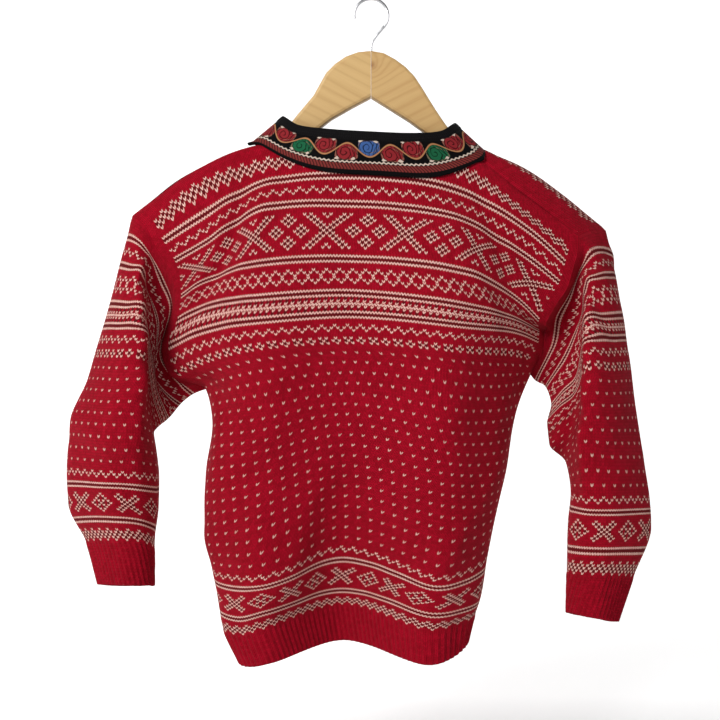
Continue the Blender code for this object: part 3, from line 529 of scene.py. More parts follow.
# A sleeve's middle surface and outward directions: a closed ring for every half row.
def sleeveSurface(side):
    table = leftSleeveTable if side == "left" else rightSleeveTable
    shares = np.linspace(0, 1, sleeve["ringSteps"] + 1)
    rings = [armholeRing(side, shares)]
    rings += [sleeveRing(np.array(line[1:], dtype=float), shares) for line in table]
    sections = Sections([0] + [line[0] for line in table], rings)
    chartRows, tableRows, widths = np.array(sleeve["courses"]).T
    rows = np.arange(0, 2 * sleeve["cuffRow"] + 1) / 2
    points = np.array([sections.at(place) for place in np.interp(rows, chartRows, tableRows)])
    around = np.roll(points, -1, axis=1) - np.roll(points, 1, axis=1)
    normals = unit(np.cross(np.gradient(points, axis=0), around))
    if side == "right":
        normals = -normals
    return {"rows": rows, "points": points, "normals": normals,
            "widths": np.interp(rows, chartRows, widths)}


# Where pieces meet at a seam, their edges are moved out along one shared direction.
def joinSeams(back, front, left, right):
    last = 2 * sleeve["armholeRows"]
    steps = sleeve["ringSteps"]
    rowShares = np.linspace(0, 1, last + 1)
    ringShares = np.linspace(0, 1, steps + 1)
    over = mitre(back["normals"][0], front["normals"][0][::-1])
    back["normals"][0] = over
    front["normals"][0] = over[::-1]
    for ring, backEdge, frontEdge in ((left, 0, -1), (right, -1, 0)):
        meeting = ring["normals"][0].copy()
        halves = ((back, backEdge, np.arange(steps + 1)),
                  (front, frontEdge, -np.arange(steps + 1)))
        for panel, edge, places in halves:
            onPanel = atPlaces(ringShares, rowShares, panel["normals"][:last + 1, edge])
            meeting[places] = mitre(ring["normals"][0][places], unit(onPanel))
        ring["normals"][0] = meeting
        for panel, edge, places in halves:
            panel["normals"][:last + 1, edge] = atPlaces(rowShares, ringShares, meeting[places])


def creaseHeight(creases, rows, columns, stitch):
    height = np.zeros(np.broadcast(rows, columns).shape)
    course = body["course"]
    x, y = columns * stitch, rows * course
    for row0, column0, row1, column1, bow, width, rise in creases:
        x0, y0, x1, y1 = column0 * stitch, row0 * course, column1 * stitch, row1 * course
        length = math.hypot(x1 - x0, y1 - y0)
        ux, uy = (x1 - x0) / length, (y1 - y0) / length
        share = ((x - x0) * ux + (y - y0) * uy) / length
        inside = np.clip(share, 0, 1)
        aside = (x - x0) * uy - (y - y0) * ux - bow * np.sin(math.pi * inside)
        past = np.maximum(np.abs(share - 0.5) - 0.5, 0) * length
        reach = (aside ** 2 + past ** 2) / width ** 2
        height += rise * np.exp(-reach) * (0.45 + 0.55 * np.sin(math.pi * inside))
    return height


# Charts: the rows of each band as places in its repeat that are cream.
def chartOf(repeat, lines):
    chart = np.zeros((len(lines), repeat), dtype=bool)
    for row, places in enumerate(lines):
        for place in places:
            chart[row, place % repeat] = True
    return chart


def crossChart():
    lines = []
    for row in range(13):
        arm = 7 - row
        places = [arm, -arm, arm - 2, 2 - arm]
        if row in (0, 12):
            places += [1, -1]
        if row in (1, 11):
            places += [0]
        for middle, centre in ((12, 2), (12, 10), (8, 6), (16, 6)):
            spread = 2 - abs(row - centre)
            places += [middle + step for step in range(-spread, spread + 1, 2)]
        lines.append(places)
    return chartOf(24, lines)


def crossAndRingChart():
    lines = []
    for row in range(-4, 5):
        arm = abs(row)
        places = [arm - 1, 1 - arm, arm + 1, -arm - 1] if arm < 4 else [3, -3]
        places += [10 + (4 - arm), 10 - (4 - arm)]
        if arm == 1:
            places += [9, 11]
        if arm == 0:
            places += [10]
        lines.append(places)
    return chartOf(20, lines)


charts = {
    "stripe": chartOf(1, ((0,), (), (0,))),
    "lattice": chartOf(4, ((0,), (1, 3), (0, 2), (1, 3), (2,))),
    "zigzag": chartOf(4, ((0,), (1, 3), (2,))),
    "chain": chartOf(4, ((0,), (1, 3), (2,), (2,), (1, 3), (0,))),
    "thick": chartOf(2, ((0,), (0, 1), (1,))),
    "beads": chartOf(8, ((1, 7, 4), (0, 3, 5), (1, 7, 4))),
    "cross": crossChart(),
    "rings": crossAndRingChart(),
}
bodyBands = ((-9, "lattice"), (-2, "stripe"), (3, "zigzag"), (8, "stripe"), (13, "cross"),
             (28, "stripe"), (33, "chain"), (41, "stripe"), (45, "thick"), (49, "stripe"),
             (54, "zigzag"), (59, "beads"), (141, "zigzag"), (146, "stripe"), (151, "rings"),
             (162, "stripe"), (167, "lattice"))
bodySpeckles = (65, 137)
sleeveBands = ((5, "stripe"), (10, "zigzag"), (15, "stripe"), (20, "chain"), (28, "stripe"),
               (32, "thick"), (36, "stripe"), (41, "zigzag"), (46, "beads"), (88, "zigzag"),
               (93, "stripe"), (98, "rings"), (109, "stripe"), (114, "lattice"))
sleeveSpeckles = (52, 84)


# Cream stitches of the given rows and columns.
def creamStitches(rows, columns, bands, speckles, middle, hemMiddle):
    cream = np.zeros((len(rows), len(columns)), dtype=bool)
    for first, name in bands:
        chart = charts[name]
        centre = hemMiddle if name == "rings" else middle
        for step, line in enumerate(chart):
            at = np.where(rows == first + step)[0]
            if len(at):
                cream[at[0]] = line[np.mod(columns - centre, len(line))]
    for turn, row in enumerate(range(speckles[0], speckles[1] + 1, 4)):
        at = np.where(rows == row)[0]
        if len(at):
            cream[at[0]] = np.mod(columns - middle - 2 * turn, 4) == 0
    return cream


# What each stitch's shader needs: cream or not, red closed in by cream or not (these get painted
# shade), its own random tone.
def stitchColours(cream, seed):
    padded = np.pad(cream, 1)
    # where painted shade goes: red stitches with cream above and below, or, more weakly, beside
    # them
    enclosedShade = np.maximum(padded[:-2, 1:-1] & padded[2:, 1:-1],
                          0.4 * (padded[1:-1, :-2] & padded[1:-1, 2:]))
    rows, columns = cream.shape
    near = sum(padded[down:down + rows, right:right + columns].astype(int)
               for down in range(3) for right in range(3))
    # a stitch that stands alone sinks into the ground a little
    shown = np.where(near == 1, 0.8, 1.0) * cream
    shade = np.random.default_rng(seed).random(cream.shape)
    return np.stack([shown, enclosedShade * ~cream, shade, np.ones(cream.shape)], axis=-1)


# Meshes.
# A sheet of quads through a grid of points, with a colour for each cell and a UV for each
# corner of the grid.  Places that fall together are merged, so rings close there.
def sheetObject(name, points, uv, cells=None, cellColumns=1, flip=False):
    count, across = points.shape[:2]
    bm = bmesh.new()
    bmesh.ops.create_grid(bm, x_segments=across - 1, y_segments=count - 1, size=1.0)
    mesh = bpy.data.meshes.new(name)
    bm.to_mesh(mesh)
    bm.free()
    mesh.vertices.foreach_set("co", (points.reshape(-1, 3) * mm).ravel())
    corners = np.empty(len(mesh.loops), dtype=np.int32)
    mesh.loops.foreach_get("vertex_index", corners)
    layer = mesh.uv_layers.new(name="stitches")
    layer.data.foreach_set("uv", uv.reshape(-1, 2)[corners].astype(np.float32).ravel())
    if cells is not None:
        first = corners.reshape(-1, 4).min(axis=1)
        rows = np.clip(first // across, 0, cells.shape[0] - 1)
        columns = np.clip((first % across) // cellColumns, 0, cells.shape[1] - 1)
        colours = np.repeat(cells[rows, columns], 4, axis=0)
        attribute = mesh.color_attributes.new("yarn", "FLOAT_COLOR", "CORNER")
        attribute.data.foreach_set("color", colours.astype(np.float32).ravel())
    bm = bmesh.new()
    bm.from_mesh(mesh)
    bmesh.ops.remove_doubles(bm, verts=bm.verts, dist=0.02 * mm)
    if flip:
        bmesh.ops.reverse_faces(bm, faces=bm.faces)
    bm.to_mesh(mesh)
    bm.free()
    mesh.shade_smooth()
    piece = bpy.data.objects.new(name, mesh)
    bpy.context.collection.objects.link(piece)
    return piece


# A UV for each place of a grid, from its stitch and its row.
def stitchUv(columns, rows):
    return np.stack(np.broadcast_arrays(columns / uvStitches, 1 - (rows + 2) / uvStitches),
                    axis=-1)


# The end of a ribbed edge: the cloth turns in and ends at its inside.
def turnedEdge(middle, normals, offsets):
    down = unit(middle[-1] - middle[-3])
    rows = []
    for lower, level in ((0.7, 0.6), (0.9, 0.0), (0.7, -0.6), (0.0, -1.0)):
        rows.append(middle[-1] + down * lower
                    + normals[-1] * np.where(level > 0, offsets[-1] * level,
                                             body["halfWall"] * level)[:, None])
    return np.array(rows)


def rowsWithEdge(count):
    return np.concatenate([np.arange(count + 1), count + 0.3 * np.arange(1, 5)])


# A body panel: its outside, and the lining that shows through the neck and the hem.
def buildPanel(name, surface, front, creases, seed):
    start = body["panelStitches"] if front else 0
    shape = body["frontNeck"] if front else body["backNeck"]
    count = body["hemRow"] - body["shoulderRow"]
    stitches = body["panelStitches"]
    halfRows, halfColumns = surface["rows"], np.arange(2 * start, 2 * (start + stitches) + 1) / 2
    reach = body["creaseFade"]
    fade = (smoothstep(0, reach, halfColumns - start)
            * smoothstep(0, reach, start + stitches - halfColumns))[None, :]
    heights = creaseHeight(creases, halfRows[:, None], halfColumns[None, :],
                           body["stitch"]) * fade
    heights *= (smoothstep(-15, -8, halfRows) * (1 - smoothstep(160, 180, halfRows)))[:, None]
    across, down = halfColumns[None, :], halfRows[:, None]
    small, broad = body["ripples"]
    heights += fade * (small * np.sin(across * 0.31 + down * 0.09)
                       * np.sin(down * 0.17 - across * 0.07 + 1.3)
                       + broad * np.sin(across * 0.11 - down * 0.23))
    middle = surface["points"] + surface["normals"] * heights[:, :, None]
    chartColumns = 2 * stitches - halfColumns if front else halfColumns
    tops = neckRow(chartColumns, shape)

    def lay(rowOf, columnsAt, offset):
        grid, directions = [], []
        for rows in rowOf:
            places = np.clip((rows - body["shoulderRow"]) * 2, 0, len(halfRows) - 1)
            low = np.minimum(places.astype(int), len(halfRows) - 2)
            part = (places - low)[:, None]
            grid.append(middle[low, columnsAt] * (1 - part) + middle[low + 1, columnsAt] * part)
            directions.append(surface["normals"][low, columnsAt] * (1 - part)
                              + surface["normals"][low + 1, columnsAt] * part)
        grid, directions = np.array(grid), np.array(directions)
        return grid, directions, grid + directions * offset[:, :, None]

    # outside: two cells to a stitch, whose middle hangs half a row lower than its sides
    columnsAt = np.arange(2 * stitches + 1)
    drop = np.where(columnsAt % 2 == 1, body["drop"], 0.0)
    rowOf = []
    for step in range(count + 1):
        level = step + (drop if 0 < step < count else 0.0)
        rowOf.append(np.maximum(body["shoulderRow"] + level, tops))
    rowOf = np.array(rowOf)
    ribbed = smoothstep(body["ribRow"] - 0.5, body["ribRow"] + 2, rowOf)
    relief = body["ribHeight"] * np.cos(math.pi * halfColumns)[None, :] * ribbed
    aside = np.minimum(halfColumns - start, start + stitches - halfColumns)[None, :]
    besideArmhole = armholeShare(rowOf)
    seam = np.maximum(seamDepth(rowOf - body["shoulderRow"]), seamDepth(aside) * besideArmhole)
    offset = body["halfWall"] + relief - seam
    grid, directions, outside = lay(rowOf, columnsAt, offset)
    outside = np.concatenate([outside, turnedEdge(grid, directions, offset)])
    rowsHere = rowsWithEdge(count)
    uv = stitchUv(halfColumns[None, :], rowsHere[:, None])
    rows = np.arange(body["shoulderRow"], body["hemRow"])
    columns = np.arange(start, start + stitches)
    if front:
        columns = 2 * stitches - 1 - columns
    cream = creamStitches(rows, columns, bodyBands, bodySpeckles, body["yokeCross"],
                          body["hemCross"])
    cream[:body["underarmRow"] - body["shoulderRow"], :body["margin"]] = False
    cream[:body["underarmRow"] - body["shoulderRow"], -body["margin"]:] = False
    piece = sheetObject(name, outside, uv, stitchColours(cream, seed), 2)

    # inside: a coarser sheet whose rows close up under the neckline
    columnsAt = np.arange(0, 2 * stitches + 1, 5)
    blend = body["frontLiningRow"] if front else body["liningRow"]
    levels = np.concatenate([np.arange(body["shoulderRow"], body["hemRow"], 3),
                             [body["hemRow"]]])
    share = np.clip((blend - levels) / (blend - body["shoulderRow"]), 0, 1)
    rowOf = levels[:, None] + (tops[columnsAt] - body["shoulderRow"])[None, :] * share[:, None]
    offset = np.full(rowOf.shape, -body["halfWall"])
    grid, directions, inside = lay(rowOf, columnsAt, offset)
    hidden = tops[columnsAt] > body["shoulderRow"] + 0.01
    rim = np.where(hidden[:, None], grid[0] + directions[0] * body["halfWall"], inside[0])
    inside = np.concatenate([rim[None], inside])
    rowsHere = np.concatenate([levels[:1], levels]) - body["shoulderRow"]
    uv = stitchUv(halfColumns[columnsAt][None, :], rowsHere[:, None])
    lining = sheetObject(name + "_inside", inside, uv, flip=True)
    return piece, lining


# A sleeve and its lining.  Columns count from the outer fold, below nothing over the front.
def buildSleeve(name, side, surface, creases, seed, slides=()):
    steps = sleeve["ringSteps"]
    flip = side == "right"
    rings, directions = surface["points"], surface["normals"]
    orders = (np.arange(steps + 1), -np.arange(steps + 1))     # over the back, over the front
    lengths = [[lengthsOf(ring[order]) for ring in rings] for order in orders]
    longest = max(length[-1] / width for half in lengths
                  for length, width in zip(half, surface["widths"]))
    reach = int(math.ceil(longest)) + 1
    halfColumns = np.arange(-2 * reach, 2 * reach + 1) / 2

    def ringAt(index, columns):
        points, outward = [], []
        for order, half in zip(orders, lengths):
            known = half[index]
            wanted = np.minimum(np.abs(columns) * surface["widths"][index], known[-1])
            points.append(atPlaces(wanted, known, rings[index][order]))
            outward.append(atPlaces(wanted, known, directions[index][order]))
        onBack = (columns >= 0)[:, None]
        return np.where(onBack, points[0], points[1]), np.where(onBack, outward[0], outward[1])

    table = [ringAt(index, halfColumns) for index in range(len(rings))]
    places, facing = [np.array(column) for column in zip(*table)]
    known = surface["rows"]
    across, down = np.broadcast_arrays(halfColumns[None, :], known[:, None])
    lowered = slideOf(slides, down, across)[1]
    lowered = lowered * smoothstep(0, 10, down) * smoothstep(0, 10, known[-1] - down)
    if lowered.any():
        for index in range(len(halfColumns)):
            places[:, index] = atPlaces(known + lowered[:, index], known, places[:, index])

    def lay(indexOf, columnsAt):
        grid, outward = places[indexOf, columnsAt], facing[indexOf, columnsAt]
        rows = indexOf / 2
        ends = smoothstep(0, 8, rows) * (1 - smoothstep(112, 122, rows))
        across = np.broadcast_to(halfColumns[columnsAt], rows.shape)
        heights = creaseHeight(creases, rows, across, sleeve["stitch"]) * ends
        heights += ends * sleeve["ripple"] * (np.sin(across * 0.33 + rows * 0.11)
                                              * np.sin(rows * 0.19 - across * 0.08 + 0.7))
        return grid + outward * heights[:, :, None], outward

    count = sleeve["cuffRow"]
    odd = np.arange(len(halfColumns)) % 2 == 1
    indexOf = 2 * np.arange(count + 1)[:, None] + np.where(odd, 1, 0)[None, :]
    indexOf[0], indexOf[-1] = 0, 2 * count
    columnsAt = np.broadcast_to(np.arange(len(halfColumns)), indexOf.shape)
    grid, outward = lay(indexOf, columnsAt)
    ribbed = smoothstep(sleeve["ribRow"] - 0.5, sleeve["ribRow"] + 2, indexOf / 2)
    offset = (sleeve["halfWall"]
              + sleeve["ribHeight"] * np.cos(math.pi * halfColumns)[None, :] * ribbed)
    share = np.where(halfColumns < 0, -halfColumns / lengths[1][0][-1],
                     halfColumns / lengths[0][0][-1]) * surface["widths"][0]
    bodyRow = body["shoulderRow"] + sleeve["armholeRows"] * np.minimum(share, 1.0)
    offset = offset - seamDepth(indexOf / 2) * armholeShare(bodyRow)[None, :]
    outside = grid + outward * offset[:, :, None]
    outside = np.concatenate([outside, turnedEdge(grid, outward, offset)])
    rowsHere = rowsWithEdge(count)
    uv = stitchUv(halfColumns[None, :] + 100, rowsHere[:, None])
    cream = creamStitches(np.arange(count), np.arange(-reach, reach), sleeveBands,
                          sleeveSpeckles, sleeve["speckle"], sleeve[side + "Cross"])
    piece = sheetObject(name, outside, uv, stitchColours(cream, seed), 2, flip=flip)

    columns = halfColumns[::5]
    indexOf = np.repeat(np.append(np.arange(0, 2 * count, 6), 2 * count)[:, None],
                        len(columns), axis=1)
    grid, outward = lay(indexOf, np.broadcast_to(np.arange(len(halfColumns))[::5],
                                                 indexOf.shape))
    inside = grid - outward * sleeve["halfWall"]
    uv = stitchUv(columns[None, :] + 100, indexOf / 2)
    lining = sheetObject(name + "_inside", inside, uv, flip=not flip)
    return piece, lining


# Collar.
# A ring outside the cloth along the neckline, or some rows below it.
def neckEdge(lift, below):
    middle = (body["neckLeft"] + body["neckRight"]) / 2
    reach = (body["neckRight"] - body["neckLeft"]) / 2 + below
    halves = []
    for front in (False, True):
        shape = body["frontNeck"] if front else body["backNeck"]
        start = body["panelStitches"] if front else 0
        low = start + collar["inset"]
        high = start + body["panelStitches"] - collar["inset"]
        line = []
        for step in np.linspace(0.03, 0.97, 30):
            column = middle - reach * math.cos(math.pi * step)
            row = neckRow(column, shape) + below * math.sin(math.pi * step) ** 0.5
            at = np.array([bodyStitches - column if front else column])
            line.append(bodyPoints(row, at)[0] + lift * bodyNormals(row, at, low, high)[0])
        halves.append(line)
    corner = (halves[0][0] + halves[1][0]) / 2 + np.array([-lift / 4, 0.0, lift / 4])
    ring = np.array([corner] + halves[0] + halves[1][::-1])
    # evened out at the right corner, where the lifted line would fold over itself
    first, last = collar["evened"]
    for _ in range(collar["evenings"]):
        ring[first:last] = (ring[first - 1:last - 1] + 2 * ring[first:last]
                            + ring[first + 1:last + 1]) / 4
    return ring


# A ring with the same number of places over the back as over the front, from a loop of
# points and the place in it where the back ends.
def bandRing(loop, turn):
    shares = (1.0 - np.cos(np.linspace(0.0, math.pi, collar["spans"] + 1))) / 2
    overBack = smoothCurve(loop[:turn + 1], loop[-1], loop[turn + 1], 4)
    overFront = smoothCurve(np.vstack([loop[turn:], loop[:1]]), loop[turn - 1], loop[1], 4)
    return np.vstack([along(overBack, shares), along(overFront, shares[1:-1])])


# A closed band through rings from its foot to its top.  section holds, for each line of the
# mesh, its height as a share and its offset from the middle; levels are the rings' shares.
def bandObject(name, levels, rings, section, height):
    rings = np.array(rings)
    around = np.roll(rings, -1, axis=1) - np.roll(rings, 1, axis=1)
    up = np.gradient(rings, axis=0)
    outward = unit(np.cross(-up, around))
    lines, heights = [], []
    for share, offset in section:
        spot = float(np.clip(share, 0, 1))
        low = min(int(np.searchsorted(levels, spot, side="right")) - 1, len(levels) - 2)
        part = (spot - levels[low]) / (levels[low + 1] - levels[low])
        point = rings[low] * (1 - part) + rings[low + 1] * part
        side = unit(outward[low] * (1 - part) + outward[low + 1] * part)
        lines.append(point + side * offset)
        heights.append(spot * height)
    grid = np.array(lines)
    grid = np.concatenate([grid, grid[:, :1]], axis=1)
    middle = np.vstack([rings[len(rings) // 2], rings[len(rings) // 2][:1]])
    reach = lengthsOf(middle)
    uv = np.stack(np.broadcast_arrays(reach[None, :] / uvBand[0],
                                      np.array(heights)[:, None] / uvBand[1]), axis=-1)
    return sheetObject(name, grid, uv, flip=True)


def buildCollar():
    foot, neck = [neckEdge(collar["lift"], below) for below in (collar["overlap"], 0.0)]
    turn = int(np.argmax(neck[len(neck) // 2:, 1] > 0.0)) + len(neck) // 2
    foot, neck = bandRing(foot, turn), bandRing(neck, turn)
    top = bandRing(np.array(bandTop, dtype=float), bandTopTurn)
    height = np.linalg.norm(top - neck, axis=1, keepdims=True)
    split = 1.0 - collar["bindingHeight"] / height
    bandTall = float(np.linalg.norm(foot - neck, axis=1).mean() + (split * height).mean())
    first = float(np.linalg.norm(foot - neck, axis=1).mean()) / bandTall
    levels = [0.0, first, first + (1 - first) * 0.33, first + (1 - first) * 0.66, 1.0]
    rings = [foot, neck] + [neck + (top - neck) * split * share for share in (0.33, 0.66, 1.0)]
    half = collar["wall"] / 2
    heights = np.linspace(0, 1, 15)
    section = [(0.0, 0.0), (0.0, half * 0.7)]
    section += [(0.02 + 0.98 * share, half) for share in heights]
    section += [(1.0, 0.0)]
    section += [(0.02 + 0.98 * share, -half) for share in heights[::-1]]
    section += [(0.0, -half * 0.7), (0.0, 0.0)]
    band = bandObject("collar_band", levels, rings, section, bandTall)
    half = collar["bindingWall"] / 2
    rings = [neck + (top - neck) * (split - 0.9 / height),
             neck + (top - neck) * (split + 1.0) / 2, top]
    section = []
    for step in range(25):
        turnAngle = 2 * math.pi * step / 24 - math.pi / 2
        rise, out = math.sin(turnAngle), math.cos(turnAngle)
        section.append((0.5 + 0.5 * math.copysign(abs(rise) ** 0.6, rise),
                        half * math.copysign(abs(out) ** 0.75, out)))
    binding = bandObject("collar_binding", [0.0, 0.5, 1.0], rings, section,
                         collar["bindingHeight"])
    return band, binding, bandTall


# Materials.
class Wire:
    # a socket, or a plain number, that can be reckoned with; each step adds a node
    def __init__(self, tree, value):
        self.tree, self.value = tree, value

    def node(self, kind, settings=None, inputs=None, output=0):
        made = self.tree.nodes.new(kind)
        for name, value in (settings or {}).items():
            setattr(made, name, value)
        for name, value in (inputs or {}).items():
            held = value.value if isinstance(value, Wire) else value
            if isinstance(held, bpy.types.NodeSocket):
                self.tree.links.new(held, made.inputs[name])
            else:
                made.inputs[name].default_value = held
        return Wire(self.tree, made.outputs[output])

    def maths(self, operation, *others):
        inputs = {index: value for index, value in enumerate((self,) + others)}
        return self.node("ShaderNodeMath", {"operation": operation}, inputs)

    def __add__(self, other):
        return self.maths("ADD", other)

    def __sub__(self, other):
        return self.maths("SUBTRACT", other)

    def __mul__(self, other):
        return self.maths("MULTIPLY", other)

    def __truediv__(self, other):
        return self.maths("DIVIDE", other)

    def __pow__(self, other):
        return self.maths("POWER", other)

    def __radd__(self, other):
        return Wire(self.tree, other).maths("ADD", self)

    def __rsub__(self, other):
        return Wire(self.tree, other).maths("SUBTRACT", self)

    def __rmul__(self, other):
        return Wire(self.tree, other).maths("MULTIPLY", self)

    def __abs__(self):
        return self.maths("ABSOLUTE")

    def above(self, other):
        return self.maths("GREATER_THAN", other)

    def below(self, other, soft=0.0):
        # 1 where this is less than the other, with a soft step
        if not soft:
            return self.maths("LESS_THAN", other)
        return ((other - self) / soft + 0.5).held()

    def held(self):
        # kept between 0 and 1
        return self.maths("MAXIMUM", 0.0).maths("MINIMUM", 1.0)

    def fromMiddle(self):
        # how far a repeat's place is from the repeat's middle: 0 there, a half at its ends
        return abs(self.maths("FRACT") - 0.5)

    def wave(self):
        # a sine whose period is 1
        return (self * 2.0 * math.pi).maths("SINE")

    def blend(self, under, over):
        # under where this is 0, over where it is 1
        return self.node("ShaderNodeMix", {"data_type": "RGBA"},
                         {"Factor": self, 6: under, 7: over}, 2)

    def other(self, name):
        return Wire(self.tree, self.value.node.outputs[name])


def newMaterial(name, viewColour, roughness):
    material = bpy.data.materials.new(name)
    material.use_nodes = True
    material.diffuse_color = viewColour
    shader = material.node_tree.nodes["Principled BSDF"]
    shader.inputs["Roughness"].default_value = roughness
    return material, shader, Wire(material.node_tree, 0.0)


def connect(wire, shader, name):
    wire.tree.links.new(wire.value, shader.inputs[name])


def emboss(height, shader, strength, distance):
    bump = height.node("ShaderNodeBump", None, {"Strength": strength, "Distance": distance,
                                                "Height": height})
    connect(bump, shader, "Normal")


def setCloth(shader, look):
    shader.inputs["Specular IOR Level"].default_value = look["gloss"]
    shader.inputs["Sheen Weight"].default_value = look["sheen"]


def noiseOn(start, place, scale, detail=3.0, roughness=0.55):
    return start.node("ShaderNodeTexNoise", None, {"Vector": place, "Scale": scale,
                                                   "Detail": detail, "Roughness": roughness})


wool = {
    "red": (0.49, 0.0030, 0.022, 1),
    "redDeep": (0.31, 0.0015, 0.011, 1),
    # painted shade in the furrows between a stitch's legs and between its rows
    "furrow": (0.15, 0.0008, 0.004, 1),
    "cream": (0.98, 0.69, 0.60, 1),
    "creamDeep": (0.76, 0.42, 0.35, 1),
    "creamEdge": (0.34, 0.020, 0.022, 1),
    "shutShade": (0.085, 0.006, 0.008, 1),     # painted shade: red stitches shut in between cream ones are darkened
    "roughness": 0.92,
    "gloss": 0.06,
    "sheen": 0.05,
    "sheenRoughness": 0.55,
    "sheenTint": (1.0, 0.45, 0.45, 1),
    "bump": 0.75,
    "bumpDepth": 0.0007,
    "patches": 22.0,             # scales of the uneven dye and of the fuzz
    "fuzz": 900.0,
    "float": (0.05, 0.001, 0.004, 1),     # painted shade between the floats on the inside
}


def knitMaterial(name, inside=False):
    material, shader, start = newMaterial(name, wool["red"], wool["roughness"])
    place = start.node("ShaderNodeTexCoord", output="Object")
    uv = start.node("ShaderNodeUVMap", {"uv_map": "stitches"})
    parts = start.node("ShaderNodeSeparateXYZ", None, {0: uv})
    column, row = parts * float(uvStitches), parts.other("Y") * float(uvStitches)
    patchy = noiseOn(start, place, wool["patches"])
    fuzz = noiseOn(start, place, wool["fuzz"], 4.0, 0.7)
    bar = row.fromMiddle() * 2.0
    if inside:
        # floats of yarn lie across the back of the knitting, with painted shade between them
        wave = column.wave() * 0.5 + 0.5
        shade = (1.0 - bar * bar * 0.5) * (0.75 + wave * 0.25)
        red = patchy.blend(wool["redDeep"], wool["red"])
        colour = (shade * 0.8).blend(wool["float"], red)
        height = (1.0 - bar * bar) + wave * 0.4
    else:
        yarn = start.node("ShaderNodeAttribute", {"attribute_name": "yarn"})
        masks = start.node("ShaderNodeSeparateColor", None, {0: yarn})
        cream, shutShade, own = masks, masks.other("Green"), masks.other("Blue")
        leg = (column * 2.0).fromMiddle() * 2.0
        # painted shade: the furrows between legs and between rows are darkened
        grooveShade = (leg ** 3.0 * 0.55 + bar ** 4.0 * 0.45).maths("MINIMUM", 1.0)
        twist = (row * 3.0 + column).wave() * 0.5 + 0.5
        mixed = own * 0.55 + patchy * 0.45 + (fuzz - 0.5) * 0.5
        red = ((mixed - 0.1) * 1.25).held().blend(wool["redDeep"], wool["red"])
        pale = (own * 0.5 + fuzz * 0.5).blend(wool["creamDeep"], wool["cream"])
        dark = grooveShade.blend(red, wool["furrow"])
        # the pale yarn is thinner, so the ground shows round each of its stitches
        rim = (bar / 0.74) ** 4.0 + (leg / 0.92) ** 6.0
        darkCream = ((rim - 0.55) * 1.6).held().blend(pale, wool["creamEdge"])
        # painted shade darkens the red stitches shut in between cream ones
        ground = (shutShade * 0.86).blend(dark, wool["shutShade"])
        colour = cream.blend(ground, darkCream)
        height = (1.0 - leg * leg) * (1.0 - bar ** 4.0) + twist * 0.12 + cream * 0.25
        height = height - shutShade * 0.35
    connect(colour, shader, "Base Color")
    emboss(height + fuzz * 0.35, shader, wool["bump"], wool["bumpDepth"])
    setCloth(shader, wool)
    shader.inputs["Sheen Roughness"].default_value = wool["sheenRoughness"]
    shader.inputs["Sheen Tint"].default_value = wool["sheenTint"]
    return material


ribbon = {
    "wave": 45.0,            # length of one whole wave of the vine
    "swing": 6.0,            # how far it swings either way
    "line": 22.8,            # height of its middle over the band's lower edge
    "start": 48.5,           # from the left corner to a crest over a green fan
    "black": (0.0016, 0.0012, 0.0015, 1),
    "vine": (0.50, 0.23, 0.10, 1),
    "rim": (0.26, 0.15, 0.10, 1),
    "red": (0.30, 0.020, 0.026, 1),
    "green": (0.012, 0.13, 0.055, 1),
    "blue": (0.055, 0.13, 0.36, 1),
    "cream": (0.72, 0.58, 0.48, 1),
    "braid": (0.24, 0.035, 0.03, 1),
    "braidDark": (0.05, 0.010, 0.010, 1),
    "field": (13.0, 32.6),   # heights between which the vine's ground lies
    "braidLine": 7.0,
    "scallopLine": 11.4,
    "gloss": 0.08,
    "sheen": 0.03,
}


